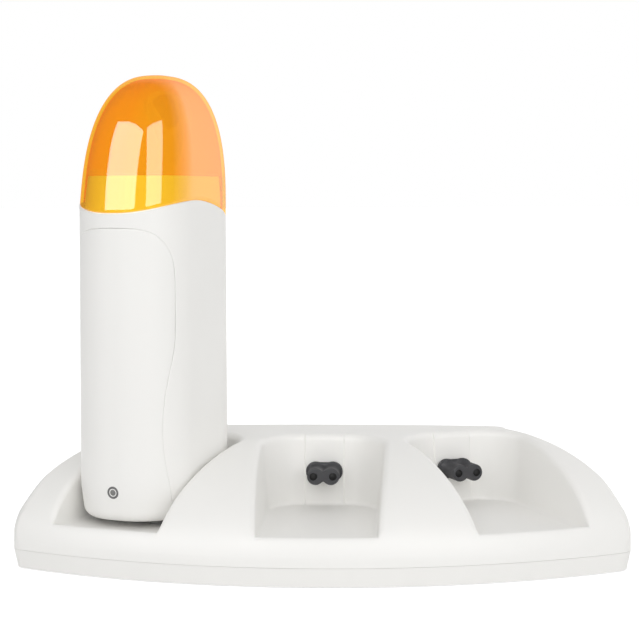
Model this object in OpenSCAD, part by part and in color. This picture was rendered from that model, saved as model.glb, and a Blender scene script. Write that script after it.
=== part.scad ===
// Roll on wax heater: a fan-shaped table base with three docking bays, one hand-held
// cartridge warmer docked in the left bay, and the warmer's clear amber cap.
// Millimetres, +Z up. The origin is the middle of the base's outline, on the table.
// The bays point at one upright axis behind the base, the fan axis. Lengths called
// "reach" are measured along a bay from the line of the plug noses' front faces.

/* [Base] */
// Distance from the fan axis to the front faces of the plug noses
bay_r = 180.5; // [170:0.5:200]
// Angle between two neighbouring bays
bay_angle = 20.8; // [20:0.1:22]
// Angle from the middle of the base to each side wall
side_angle = 31.8; // [31:0.1:34]
// Reach of the base's widest front line
front_reach = 73.3; // [72:0.1:80]
// Reach of the straight back wall, behind the nose line
back_reach = 50; // [46:0.5:60]
// Height of the top, where the curved front begins
top_h = 49.5; // [47:0.5:56]
// Rise of the top from there to the back edge
top_rise = 1.1; // [0.2:0.1:3]
// Reach of the point where the curved front begins, behind the nose line
curve_start = 15; // [5:1:20]
// Radius of the upright corners
corner_r = 9; // [6:0.5:12]
// Wall of the base's mouldings
wall = 2.4; // [1.8:0.1:3]

/* [Bays] */
// Half width of a bay at its floor
bay_half = 24.4; // [24.1:0.1:25.5]
// Sideways lean of a bay's walls, per millimetre of height
bay_draft = 0.09; // [0.08:0.01:0.12]
// Height of a bay's floor
floor_z = 18.1; // [17:0.1:20]
// Height of the low lip at the mouth of a bay
lip_h = 2; // [1:0.1:2.2]
// Thickness of that lip
lip_t = 2.6; // [1.5:0.1:4]
// Depth of a bay behind the nose line
bay_back = 17; // [16.6:0.1:20]
// Radius of the hollow back wall of a bay, seen from above
back_wall_r = 65; // [60:1:90]
// Radius of a bay's upright back corners, at the top of its walls
bay_corner_r = 12; // [6:0.5:14]
// Width of the raised pad behind a nose
pad_w = 17.6; // [17.4:0.1:20]
// Height of that pad out of the back wall
pad_t = 1.6; // [1:0.1:2.2]

/* [Tray] */
// Height of the line where the shell meets the bottom tray
parting_z = 8.4; // [7:0.1:10]
// Gap that shows as the parting line
parting_gap = 0.3; // [0.1:0.05:0.6]
// Inset of the tray's outline at its bottom
tray_taper = 1.6; // [1:0.1:4]
// Height of the tray's bottom above the table
tray_lift = 0.5; // [0.4:0.1:1.5]
// Height of the tongue that locates the shell on the tray
tongue_h = 3; // [2:0.5:4]
// Thickness of that tongue
tongue_t = 1.4; // [1:0.1:2]
// Radius of a rubber foot
foot_r = 6; // [4:0.5:8]
// Depth of the pocket that holds a foot
foot_pocket = 1.1; // [0.8:0.1:1.4]

/* [Screws] */
// Radius of a screw's shank
screw_r = 1.45; // [1.2:0.05:1.8]
// Radius of a screw's head
screw_head_r = 2.9; // [2.4:0.1:3.1]
// Height of a screw's head
screw_head_h = 1.8; // [1.2:0.1:2.4]
// Length of a base screw's shank
base_screw_l = 15; // [12:0.5:18]
// Length of a warmer screw's shank
hand_screw_l = 14; // [12:0.5:18]
// Radius of a screw boss
boss_r = 3.5; // [3.3:0.1:3.7]

/* [Plug noses] */
// Width of a plug nose
nose_w = 14.3; // [13.5:0.1:15]
// Height of a plug nose
nose_h = 7.5; // [7:0.1:8]
// Height of the noses' centre line above the table
nose_z = 33.4; // [32:0.1:35]
// Width of the collar round a nose's root
collar_w = 16.5; // [16:0.1:17]
// Height of that collar
collar_h = 8.8; // [8.4:0.1:9.5]
// Thickness of that collar
collar_t = 1.3; // [0.8:0.1:1.4]
// Distance between the two contacts
pin_pitch = 8.6; // [8.2:0.1:8.8]
// Radius of a contact pin
pin_r = 1.18; // [1.1:0.01:1.2]
// Radial play between a pin and its contact sleeve
pin_play = 0.07; // [0.02:0.01:0.1]
// Length of a contact pin in its recess
pin_l = 9; // [8:0.5:11]
// Wall of a contact sleeve
sleeve_contact_t = 0.6; // [0.4:0.05:0.8]

/* [Mains inlet] */
// Depth of the recess for a plug
inlet_depth = 13; // [12:0.5:14]
// Height of the mains inlet's centre line above the table
inlet_z = 21; // [18:0.5:24]
// Thickness of plastic round an inlet's recess
inlet_wall = 2; // [1.5:0.1:2.4]

/* [Warmer body] */
// Width of the warmer
hand_w = 50.7; // [50:0.1:51]
// Depth of the warmer, front to back
hand_d = 73.7; // [72:0.1:74]
// Radius of the warmer's upright corners
hand_r = 23.3; // [22:0.1:24]
// Gap between the nose line and the warmer's back, which the noses bridge
hand_back = 13.4; // [13:0.1:13.6]
// Gap under the warmer, filled by its feet
hand_lift = 3.1; // [2.9:0.1:3.6]
// Height over which the warmer's bottom edge narrows
hand_base_h = 16; // [12:1:20]
// Wall of the warmer's mouldings
hand_wall = 2; // [1.8:0.1:2.2]
// Height of the cap's seat at its highest, halfway along each side
seat_z = 154.9; // [150:0.1:160]
// Radius of the seat's arch, seen from the side
seat_r = 75; // [70:1:90]
// Reach of the arch's highest point
seat_reach = 32; // [28:1:36]
// Gap in the seam round the front panel
seam = 0.2; // [0.1:0.05:0.4]
// Half width of the front panel
panel_half = 22.9; // [22:0.1:23.2]
// Half width of the front panel at its waist
panel_waist = 19.4; // [18.5:0.1:21]
// Height of the panel's waist
panel_waist_z = 60; // [55:1:70]
// Height of the panel's top edge
panel_top_z = 143.5; // [140:0.5:144]
// Height over which the panel's top rounds off
panel_crown_h = 30; // [18:1:36]
// Exponent of that rounding: 2 is an ellipse, more is squarer
panel_power = 4; // [2.2:0.1:5]

/* [Heating well] */
// From each side of the warmer to the inside of the heating well
well_side = 8.35; // [8:0.05:9]
// From the warmer's front and back to the inside of the heating well
well_end = 9.85; // [9.4:0.05:10.5]
// Inner corner radius of the heating well
well_r = 9; // [7.5:0.5:10]
// Wall of the heating well
well_t = 1.5; // [1:0.1:1.8]
// Height of the well's inner floor above the table
well_floor_z = 62; // [61.5:0.5:66]
// Height of the frame's plate, which the well's rim meets
well_top_z = 150; // [148:0.5:152]
// Height of the neck frame's top edge
neck_top_z = 165.3; // [162:0.1:168]
// Wall of the neck frame
neck_t = 2; // [1.5:0.1:2.4]
// Height of the neck frame's bottom edge
neck_base_z = 136; // [134:0.5:138]
// Width of the heating element
heater_w = 24; // [20:0.5:26]
// Height of the heating element
heater_h = 30; // [24:1:40]
// Thickness of the heating element
heater_t = 2.4; // [1.8:0.1:2.8]

/* [Lamp] */
// Radius of the indicator lens
lamp_r = 2.1; // [1.5:0.1:2.5]
// Radius of the dark ring round the lens
lamp_ring_r = 2.9; // [2.7:0.1:3.4]
// Height of the indicator above the table
lamp_z = 33.8; // [33:0.1:36]

/* [Cap] */
// Height of the cap's top above the table
cap_top_z = 208.7; // [200:0.1:215]
// Wall of the cap
cap_wall = 1.8; // [1.4:0.1:2]
// Backward lean of the cap's top
cap_lean = 5.3; // [3:0.1:7]
// Share of its width that the cap loses by its draft
cap_taper = 0.05; // [0.02:0.01:0.08]
// Exponent of the cap's rounded outline: 2 is an ellipse, more is squarer
cap_power = 2.7; // [2.2:0.1:3.2]
// Gap between the cap and its seat
cap_gap = 0.2; // [0.1:0.05:0.4]
// Play between the cap and the neck frame
cap_play = 0.45; // [0.35:0.05:0.6]

/* [Hidden] */

// The fan axis, and the base's main levels and radii about it
fan_y = bay_r + (front_reach - back_reach) / 2;
front_r = bay_r + front_reach;
shell_bottom_z = parting_z + parting_gap;
top_z = top_h + top_rise;
curve_r = bay_r - curve_start;
curve_steps = 20;
corner_steps = 8;
front_steps = 48;
fit_gap = 0.15;
tongue_inset = wall + 0.4;
over = 1;

// Screws of the base: [angle from the middle, distance from the fan axis]
boss_margin = 1.4;
ridge_boss_reach = 40;
corner_boss_in = 21.8;
back_boss_in = 15;
ridge_boss_r = bay_r + ridge_boss_reach;
corner_boss_r = front_r - corner_boss_in;
corner_boss_angle = side_angle - asin((wall + boss_r + 4.2) / corner_boss_r);
back_boss_x = (bay_r - back_reach) * tan(side_angle) - back_boss_in;
back_boss_y = bay_r - back_reach + wall + boss_r + boss_margin + 1.7;
base_bosses = [
    for (side = [-1, 1]) each [
        [side * bay_angle / 2, ridge_boss_r],
        [side * corner_boss_angle, corner_boss_r],
        [side * atan(back_boss_x / back_boss_y), norm([back_boss_x, back_boss_y])]
    ]
];
head_z = tray_lift + screw_head_h + over;
foot_inset = 24;
base_feet_at = [
    for (side = [-1, 1]) each [
        [side * (side_angle - 5.5), front_r - foot_inset],
        [side * (side_angle - 16), bay_r - back_reach + foot_inset]
    ]
];

// Plug noses and their sockets
sleeve_r = pin_r + pin_play;
contact_r = sleeve_r + sleeve_contact_t;
pad_face = bay_back - pad_t;
wall_inside = bay_back + wall;
barb_t = 1.4;
waist_in = 1.7;
barb_h = 0.9;
contact_setback = 0.8;
tail_back = wall_inside + 5.5;
tail_t = 1.2;
wire_r = 1.1;
wire_rise = tail_t / 2 + 0.9 + wire_r;
wire_back = tail_back + 4.5;
recess_play = 0.35;
pin_tail = 2.5;
lead_rise = 6;

// The warmer's own levels
hand_z = floor_z + hand_lift;
hand_y = hand_back - hand_d / 2;
hand_front = hand_y - hand_d / 2;
full_z = hand_z + hand_base_h;
seat_axis_z = seat_z - seat_r;
well_y = hand_y;
well_w = hand_w - 2 * well_side;
well_d = hand_d - 2 * well_end;
well_back = well_y + well_d / 2 + well_t;
well_front = well_y - well_d / 2 - well_t;
well_bottom_z = well_floor_z - well_t;
screw_z = well_bottom_z - boss_r - 4.6;
screw_x = 14;
screw_split = -8;
socket_w = nose_w + 2 * (recess_play + inlet_wall);
socket_h = nose_h + 2 * (recess_play + inlet_wall);
socket_bottom = -0.6;
socket_inner = socket_bottom - inlet_wall;
ledge_t = 1.6;
ledge_w = 1.8;
rib_t = 2;
board_t = 1.6;
board_front = hand_front + hand_wall + 4.2;
neck_inset = cap_wall + cap_play;
dome_z = well_top_z;
plate_t = 2;
outline_steps = 12;
cap_rings = 14;
flat_steps = 8;
waist_reach = 40;
neck_draft = 0.7;

// The warmer's narrowed foot: how far it draws in, and its round bottom edge
foot_inset_t = 2.2;
edge_inset = 3.5;
edge_h = 2;

// Heating element, its clip and the fuse on the well
heater_z = well_bottom_z + 12;
clip_t = 0.8;
clip_w = heater_w / 2;
fuse_r = 2;
fuse_l = 14;
fuse_rise = 30;
fuse_z = well_bottom_z + fuse_rise;

// Lamp: its face stands a little proud of the panel, its flange lies behind the wall
function foot_inset_at(z) = foot_inset_t * max(0, full_z - z) / (hand_base_h - edge_h);
flange_w = 0.9;
flange_t = 0.8;
lamp_face = hand_front + foot_inset_at(lamp_z) - 0.25;
flange_y = hand_front + hand_wall + foot_inset_at(lamp_z - lamp_ring_r - flange_w) + 0.35;
ring_depth = flange_y + flange_t - lamp_face;

// The warmer's feet, and the posts of its circuit board
hand_foot_r = 3.4;
hand_foot_pocket = 1.2;
foot_seat_gap = 0.15;
feet_side = 15.35;
feet_end = 20;
hand_feet_at = [
    for (x = [-1, 1], y = [-1, 1]) [x * (hand_w / 2 - feet_side), hand_y + y * (hand_d / 2 - feet_end)]
];
board_post_x = 6.5;
board_post_rise = 9;
board_post_z = lamp_z + board_post_rise;

white = [0.94, 0.94, 0.93];
grey = [0.30, 0.30, 0.31];

// ---------------------------------------------------------------- helpers

// Points of an arc about c, from angle a0 to a1
function arc(c, r, a0, a1, steps) = [
    for (i = [0:steps]) c + r * [cos(a0 + (a1 - a0) * i / steps), sin(a0 + (a1 - a0) * i / steps)]
];

// A rectangle with four round corners, about its own centre
module round_rect(w, d, r) {
    square([w - 2 * r, d], center = true);
    square([w, d - 2 * r], center = true);
    for (x = [-1, 1], y = [-1, 1])
        translate([x * (w / 2 - r), y * (d / 2 - r)]) circle(r, $fn = 64);
}

// A rod of radius r through a list of points, with round bends
module rod(points, r) {
    for (i = [0:len(points) - 2]) {
        run = points[i + 1] - points[i];
        translate(points[i])
            rotate([0, acos(run.z / norm(run)), atan2(run.y, run.x)])
                cylinder(r = r, h = norm(run), $fn = 24);
    }
    for (i = [1:len(points) - 2]) translate(points[i]) sphere(1.05 * r, $fn = 24);
}

// Places children in the frame of a bay: y = 0 is the nose line, -y runs out of the mouth
module at_bay(side) {
    translate([0, fan_y, 0]) rotate([0, 0, side * bay_angle]) translate([0, -bay_r, 0]) children();
}

// Places children on the fan: angle from the middle line, distance from the fan axis
module at_fan(place) {
    translate([0, fan_y, 0]) rotate([0, 0, place[0]]) translate([0, -place[1], 0]) children();
}

// A stadium, the outline of a plug nose, standing in the x-z plane and running along +y
module nose_bar(w, h, from, to) {
    translate([0, to, nose_z]) rotate([90, 0, 0]) linear_extrude(to - from) {
        square([w - h, h], center = true);
        for (x = [-1, 1]) translate([x * (w - h) / 2, 0]) circle(h / 2, $fn = 48);
    }
}

// A round bar along y, at height z
// Two round barrels side by side along Y, with a waist between them above and below
module nose_barrels(w, h, from, to) {
    translate([0, to, nose_z]) rotate([90, 0, 0]) linear_extrude(to - from) {
        square([w - h, h - 2 * waist_in], center = true);
        for (x = [-1, 1]) translate([x * (w - h) / 2, 0]) circle(h / 2, $fn = 48);
    }
}

module bar_y(x, z, r, from, to, sides = 32) {
    translate([x, to, z]) rotate([90, 0, 0]) cylinder(r = r, h = to - from, $fn = sides);
}

// ---------------------------------------------------------------- base

// The base's outline seen from above, drawn in by inset; its front line may go further out
function fan_outline(inset, front) =
    let (
        r = corner_r - min(inset, corner_r - 2),
        y_back = bay_r - back_reach + inset,
        side = side_angle,
        reach = front - inset - r,
        turn = asin((inset + r) / reach),
        front_c = reach * [sin(side - turn), -cos(side - turn)],
        back_x = (y_back + r) * tan(side) - (inset + r) / cos(side),
        back_c = [back_x, -(y_back + r)],
        right = concat(
            arc(front_c, r, -90 + side - turn, side, corner_steps),
            arc(back_c, r, side, 90, corner_steps)
        )
    )
    concat(right, [for (i = [len(right) - 1:-1:0]) [-right[i].x, right[i].y]],
        arc([0, 0], front - inset, -90 - side + turn, -90 + side - turn, front_steps));

// The shell's section from the fan axis outwards: a quarter ellipse, then the rising top
function shell_profile(inset) = [
    for (i = [0:curve_steps])
        let (a = 90 * i / curve_steps)
        [curve_r + (front_r - curve_r - inset) * cos(a), parting_z + (top_h - parting_z - inset) * sin(a)]
];

// The base's outer form, drawn in all round by inset, from height z upwards
module base_form(inset, z) {
    near = bay_r - back_reach;
    low = parting_z - 2 * over;
    intersection() {
        translate([0, fan_y, 0]) rotate([0, 0, -90 - side_angle - 6])
            rotate_extrude(angle = 2 * side_angle + 12, $fn = 180)
                polygon(concat([[near - 20, low], [front_r - inset, low]],
                    shell_profile(inset), [[near, top_z - inset], [near - 20, top_z - inset]]));
        translate([0, fan_y, z]) linear_extrude(top_z)
            polygon(fan_outline(inset, front_r + 0.2));
    }
}

// A bay's hollow from height z to above the top, its walls moved out by grow
module bay_hollow(z, grow, mouth) {
    half = bay_half + grow;
    high = top_z + over;
    intersection() {
        translate([0, bay_back + grow + over, 0]) rotate([90, 0, 0])
            linear_extrude(bay_back + grow + over + mouth)
                polygon([
                    [-half - bay_draft * (z - floor_z), z], [half + bay_draft * (z - floor_z), z],
                    [half + bay_draft * (high - floor_z), high],
                    [-half - bay_draft * (high - floor_z), high]
                ]);
        translate([0, bay_back - back_wall_r, z - over])
            cylinder(r = back_wall_r + grow, h = high - z + 2 * over, $fn = 180);
        translate([0, 0, z - over]) linear_extrude(high - z + 2 * over) bay_corners(grow, mouth);
    }
}

// The plan that rounds a bay's two back corners, where its side and back walls meet
module bay_corners(grow, mouth) {
    wide = bay_half + bay_draft * (top_z - floor_z) + grow;
    r = bay_corner_r + grow;
    deep = bay_back + grow;
    side_y = bay_back - back_wall_r + sqrt(pow(back_wall_r + grow, 2) - pow(wide - r, 2));
    translate([-wide - over, -mouth - over]) square([2 * (wide + over), mouth + over + side_y - r]);
    translate([-wide + r, side_y - r - over]) square([2 * (wide - r), deep + over]);
    for (x = [-1, 1]) translate([x * (wide - r), side_y - r]) circle(r, $fn = 96);
}

// Everything that a bay takes out of the shell
module bay_cut() {
    lip_reach = front_reach - lip_t - 3.6;
    difference() {
        union() {
            bay_hollow(floor_z + lip_h, 0, front_reach + 10);
            bay_hollow(floor_z, 0, lip_reach);
        }
        translate([-pad_w / 2, pad_face, floor_z - over]) cube([pad_w, 10, top_z]);
    }
    nose_bar(nose_w + 2 * fit_gap, nose_h + 2 * fit_gap, pad_face - over, wall_inside + over);
}

// Inside, the bay's tub stands below the shell's top, with its wall's thickness
module bay_tub() {
    bay_hollow(floor_z - wall, wall, front_reach + 10);
}

module mains_window(play) {
    w = socket_w + 2 * play;
    h = socket_h + 2 * play;
    translate([-w / 2, fan_y - bay_r + back_reach - wall - over, inlet_z - h / 2])
        cube([w, wall + 2 * over, h]);
}

module base_shell() {
    color(white) difference() {
        union() {
            difference() {
                base_form(0, shell_bottom_z);
                difference() {
                    base_form(wall, shell_bottom_z - over);
                    for (side = [-1:1]) at_bay(side) bay_tub();
                }
            }
            intersection() {
                base_form(wall / 2, shell_bottom_z);
                for (place = base_bosses)
                    at_fan(place) translate([0, 0, shell_bottom_z])
                        cylinder(r = boss_r, h = top_z, $fn = 32);
            }
        }
        for (side = [-1:1]) at_bay(side) bay_cut();
        for (place = base_bosses)
            at_fan(place) cylinder(r = screw_r + 0.05, h = head_z + base_screw_l + over, $fn = 32);
        mains_window(fit_gap);
    }
}

module bottom_tray() {
    color(white) difference() {
        union() {
            translate([0, fan_y, 0]) difference() {
                hull() {
                    translate([0, 0, tray_lift]) linear_extrude(0.01)
                        polygon(fan_outline(tray_taper, front_r));
                    translate([0, 0, parting_z - 0.01]) linear_extrude(0.01)
                        polygon(fan_outline(0, front_r));
                }
                translate([0, 0, tray_lift + wall]) linear_extrude(parting_z)
                    polygon(fan_outline(tray_taper + wall, front_r));
            }
            translate([0, fan_y, tray_lift + wall / 2])
                linear_extrude(parting_z + tongue_h - tray_lift - wall / 2) difference() {
                    polygon(fan_outline(tongue_inset, front_r));
                    polygon(fan_outline(tongue_inset + tongue_t, front_r));
                }
            for (place = base_bosses)
                at_fan(place) translate([0, 0, tray_lift])
                    cylinder(r = boss_r + 0.8, h = shell_bottom_z - tray_lift, $fn = 32);
        }
        for (place = base_bosses)
            at_fan(place) {
                cylinder(r = screw_r + 0.25, h = parting_z + 2, $fn = 32);
                cylinder(r = screw_head_r + 0.2, h = head_z, $fn = 32);
            }
        for (place = base_feet_at)
            at_fan(place) cylinder(r = foot_r + 0.1, h = tray_lift + foot_pocket, $fn = 48);
    }
}

module base_feet() {
    color([0.25, 0.25, 0.26]) for (place = base_feet_at)
        at_fan(place) cylinder(r = foot_r, h = tray_lift + foot_pocket, $fn = 48);
}

// A pan-head screw: its head's seat is at height 0 and its shank runs up
module screw(length) {
    translate([0, 0, -screw_head_h]) difference() {
        cylinder(r = screw_head_r, h = screw_head_h, $fn = 32);
        for (turn = [0, 90]) rotate([0, 0, turn])
            translate([-1.6, -0.35, -over]) cube([3.2, 0.7, over + 1]);
    }
    cylinder(r = screw_r, h = length - 1.2, $fn = 24);
    translate([0, 0, length - 1.2]) cylinder(r1 = screw_r, r2 = 0.4, h = 1.2, $fn = 24);
}

module base_screws() {
    color("silver") for (place = base_bosses)
        at_fan(place) translate([0, 0, head_z]) screw(base_screw_l);
}

module plug_nose() {
    color(grey) difference() {
        union() {
            nose_barrels(nose_w, nose_h, 0, wall_inside);
            nose_bar(nose_w, nose_h, pad_face - collar_t, wall_inside + fit_gap + barb_t);
            nose_bar(collar_w, collar_h, pad_face - collar_t, pad_face);
            translate([-2.5, wall_inside + fit_gap, nose_z - nose_h / 2 - barb_h])
                cube([5, barb_t, nose_h + 2 * barb_h]);
        }
        for (x = [-1, 1]) {
            bar_y(x * pin_pitch / 2, nose_z, pin_r + 0.35, -over, contact_setback + over);
            bar_y(x * pin_pitch / 2, nose_z, contact_r + 0.05, contact_setback, tail_back);
        }
    }
}

// A pair of brass sleeves, each with a flat tail that turns to its wire
module contacts() {
    color("goldenrod") for (x = [-1, 1]) {
        difference() {
            bar_y(x * pin_pitch / 2, nose_z, contact_r, contact_setback, wall_inside);
            bar_y(x * pin_pitch / 2, nose_z, sleeve_r, -over, wall_inside - 3);
        }
        translate([x * pin_pitch / 2 - 0.8, wall_inside - over, nose_z - tail_t / 2])
            cube([1.6, tail_back - wall_inside + over, tail_t]);
        translate([x * pin_pitch / 2 - 0.8, tail_back - tail_t, nose_z - (x < 0 ? wire_rise - wire_r : 0)])
            cube([1.6, tail_t, wire_rise - wire_r]);
    }
}

// A supply wire: an arc past all three noses, and a branch to the mains inlet
module base_wire(x) {
    z = nose_z + x * wire_rise;
    arc_r = bay_r - tail_back + tail_t / 2;
    at = fan_y - sqrt(pow(arc_r, 2) - pow(pin_pitch / 2, 2));
    drop = fan_y - bay_r + wire_back;
    end = fan_y - bay_r + back_reach - inlet_depth - inlet_wall - pin_tail;
    span = bay_angle + atan((pin_pitch / 2 + 1.2) / arc_r);
    translate([0, fan_y, z]) rotate([0, 0, -90 - span])
        rotate_extrude(angle = 2 * span, $fn = 120) translate([arc_r, 0]) circle(wire_r, $fn = 24);
    rod([
        [x * pin_pitch / 2, at - wire_r / 3, z], [x * pin_pitch / 2, drop, z],
        [x * pin_pitch / 2, drop, inlet_z], [x * pin_pitch / 2, end, inlet_z]
    ], wire_r);
}

module base_wire_live() {
    color("saddlebrown") base_wire(1);
}

module base_wire_neutral() {
    color("royalblue") base_wire(-1);
}

// A recessed socket with its mouth at y = 0, running back along -y; nose_z is its centre
module socket_body(depth) {
    translate([-socket_w / 2, -depth - inlet_wall, nose_z - socket_h / 2])
        cube([socket_w, depth + inlet_wall, socket_h]);
}

module socket_recess(depth) {
    nose_bar(nose_w + 2 * recess_play, nose_h + 2 * recess_play, -depth, over);
    for (x = [-1, 1]) bar_y(x * pin_pitch / 2, nose_z, pin_r + 0.02, -depth - inlet_wall - over, 0);
}

// A pair of pins through the end wall of a socket whose mouth is at y = 0
module socket_pin_pair(depth) {
    for (x = [-1, 1]) {
        bar_y(x * pin_pitch / 2, nose_z, pin_r, -depth - inlet_wall - pin_tail, -depth + pin_l - 0.5);
        translate([x * pin_pitch / 2, -depth + pin_l - 0.5, nose_z]) rotate([-90, 0, 0])
            cylinder(r1 = pin_r, r2 = pin_r - 0.5, h = 0.5, $fn = 32);
    }
}

module at_mains() {
    translate([0, fan_y - bay_r + back_reach, inlet_z - nose_z]) children();
}

module mains_inlet() {
    flange = 1.5;
    color(grey) at_mains() difference() {
        union() {
            socket_body(inlet_depth);
            translate([-socket_w / 2 - flange, -wall - flange, nose_z - socket_h / 2 - flange])
                cube([socket_w + 2 * flange, flange, socket_h + 2 * flange]);
        }
        socket_recess(inlet_depth);
    }
}

module mains_pins() {
    color("silver") at_mains() socket_pin_pair(inlet_depth);
}

// ---------------------------------------------------------------- warmer

module at_hand() {
    at_bay(-1) children();
}

// The warmer's outline, drawn in by inset
module hand_outline(inset) {
    translate([0, hand_y]) round_rect(hand_w - 2 * inset, hand_d - 2 * inset, hand_r - inset);
}

// The warmer's form without its cap: a narrowed bottom edge and an arched top
module hand_form(inset, bottom, arch_drop) {
    intersection() {
        union() {
            hull() {
                translate([0, 0, bottom]) linear_extrude(0.01)
                    hand_outline(inset + foot_inset_t + edge_inset);
                translate([0, 0, bottom + edge_h]) linear_extrude(0.01)
                    hand_outline(inset + foot_inset_t);
                translate([0, 0, full_z]) linear_extrude(0.01) hand_outline(inset);
            }
            translate([0, 0, full_z]) linear_extrude(seat_z - full_z + over) hand_outline(inset);
        }
        union() {
            translate([-hand_w, -seat_reach, seat_axis_z]) rotate([0, 90, 0])
                cylinder(r = seat_r - arch_drop, h = 2 * hand_w, $fn = 180);
            translate([-hand_w, hand_front - 5, 0])
                cube([2 * hand_w, hand_d + 10, seat_axis_z + seat_r / 3]);
        }
    }
}

// The front panel's outline seen from the front, made larger by grow
function panel_outline(grow) =
    let (
        half = panel_half + grow,
        top = panel_top_z + grow,
        crown = panel_crown_h + grow,
        waist = panel_waist + grow,
        right = concat(
            [for (i = [0:10])
                let (z = hand_z - 5 + (panel_waist_z + waist_reach - hand_z + 5) * i / 10,
                    u = (z - panel_waist_z) / waist_reach)
                [half - (half - waist) * pow(max(0, 1 - u * u), 2), z]],
            [for (i = [0:11])
                let (a = 90 * i / 12, c = cos(a), v = sin(a),
                    q = pow(pow(c, panel_power) + pow(v, panel_power), -1 / panel_power))
                [half * c * q, top - crown + crown * v * q]]
        )
    )
    concat(right, [for (i = [len(right) - 1:-1:0]) [-right[i].x, right[i].y]]);

// The block of space that the front panel takes out of the warmer's shell
module panel_space(grow) {
    translate([0, hand_y + 6, 0]) rotate([90, 0, 0])
        linear_extrude(hand_d) polygon(panel_outline(grow));
}

// Both mouldings of the warmer as one wall, with the ledge under the neck frame
module hand_walls() {
    difference() {
        hand_form(0, hand_z, 0);
        difference() {
            hand_form(hand_wall, hand_z + hand_wall, -over);
            translate([0, 0, neck_base_z - ledge_t]) linear_extrude(ledge_t) difference() {
                hand_outline(hand_wall / 2);
                hand_outline(hand_wall + ledge_w);
            }
        }
        for (place = hand_feet_at)
            translate([place.x, place.y, hand_z - over])
                cylinder(r = hand_foot_r + 0.1, h = over + hand_foot_pocket, $fn = 32);
    }
}

// A cross rib that carries the heating well
module well_rib(y) {
    low = screw_z + boss_r + 0.6;
    intersection() {
        hand_form(hand_wall / 2, hand_z, 0);
        translate([-hand_w / 2, y, low]) cube([hand_w, rib_t, well_bottom_z - low]);
    }
}

module warmer_shell() {
    color(white) at_hand() difference() {
        union() {
            difference() {
                hand_walls();
                panel_space(seam);
            }
            well_rib(hand_y + well_d / 4);
            well_rib(hand_y + 8);
            intersection() {
                hand_form(hand_wall / 2, hand_z, 0);
                for (x = [-1, 1]) bar_y(x * screw_x, screw_z, boss_r, screw_split + fit_gap, hand_back);
            }
        }
        for (x = [-1, 1]) {
            bar_y(x * screw_x, screw_z, screw_r + 0.25, screw_split - over, hand_back);
            bar_y(x * screw_x, screw_z, screw_head_r + 0.2, screw_split + 5, hand_back + over);
        }
        translate([-socket_w / 2 - fit_gap, -5, nose_z - socket_h / 2 - fit_gap])
            cube([socket_w + 2 * fit_gap, hand_back + 5 + over, socket_h + 2 * fit_gap]);
    }
}

module front_panel() {
    color(white) at_hand() difference() {
        union() {
            intersection() {
                hand_walls();
                panel_space(0);
            }
            intersection() {
                hand_form(hand_wall / 2, hand_z, 0);
                union() {
                    for (x = [-1, 1])
                        bar_y(x * screw_x, screw_z, boss_r, hand_front, screw_split);
                    for (x = [-1, 1])
                        bar_y(x * board_post_x, board_post_z, 1.8, hand_front, board_front);
                }
            }
        }
        for (x = [-1, 1])
            bar_y(x * screw_x, screw_z, screw_r + 0.05, screw_split + 4 - hand_screw_l, screw_split + over);
        bar_y(0, lamp_z, lamp_ring_r + 0.1, hand_front - over, flange_y);
    }
}

// Small parts under and behind the front panel
module warmer_feet() {
    color([0.25, 0.25, 0.26]) at_hand() for (place = hand_feet_at)
        translate([place.x, place.y, floor_z + foot_seat_gap])
            cylinder(r = hand_foot_r, h = hand_lift - foot_seat_gap + hand_foot_pocket, $fn = 32);
}

module warmer_screws() {
    color("silver") at_hand() for (x = [-1, 1])
        translate([x * screw_x, screw_split + 5, screw_z]) rotate([90, 0, 0]) screw(hand_screw_l);
}

// A point of the cap's family of surfaces: outline point i of n, inset from the warmer's
// outline, at height z; above dome_z the outline shrinks and leans back
function outline_pt(i, inset) =
    let (
        a = outline_at[i][0],
        r = hand_r - inset,
        cx = outline_at[i][1] * (hand_w / 2 - hand_r),
        cy = outline_at[i][2] * (hand_d / 2 - hand_r)
    )
    [cx + r * cos(a), cy + r * sin(a)];

function dome_pt(i, inset, z) =
    let (
        v = min(1, max(0, (z - dome_z) / (cap_top_z - dome_z - inset))),
        k = (1 - cap_taper * v) * pow(max(0, 1 - pow(v, cap_power)), 1 / cap_power),
        p = outline_pt(i, inset)
    )
    [p.x * k, hand_y + p.y * k + cap_lean * v, z];

// Height of the cap's seat where the outline passes y
function seat_at(y) = seat_axis_z + sqrt(pow(seat_r, 2) - pow(y + seat_reach, 2));

// Where each outline point lies: its angle about a corner's centre, and that centre's sides.
// Along each flat side the centre moves from one corner to the next in flat_steps steps.
outline_at = [
    for (k = [0:3]) each concat(
        [for (j = [0:outline_steps])
            [90 * (k + j / outline_steps), k == 0 || k == 3 ? 1 : -1, k < 2 ? 1 : -1]],
        k == 0 || k == 2 ? [] : [for (j = [1:flat_steps - 1])
            [90 * (k + 1), k == 1 ? -1 : 1, (k == 1 ? 1 : -1) * (1 - 2 * j / flat_steps)]]
    )
];
outline_n = len(outline_at);

// One band of faces between two rings that start at points a and b
function band(a, b) = [
    for (i = [0:outline_n - 1])
        let (j = (i + 1) % outline_n) each [[a + i, b + j, a + j], [a + i, b + i, b + j]]
];

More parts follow.
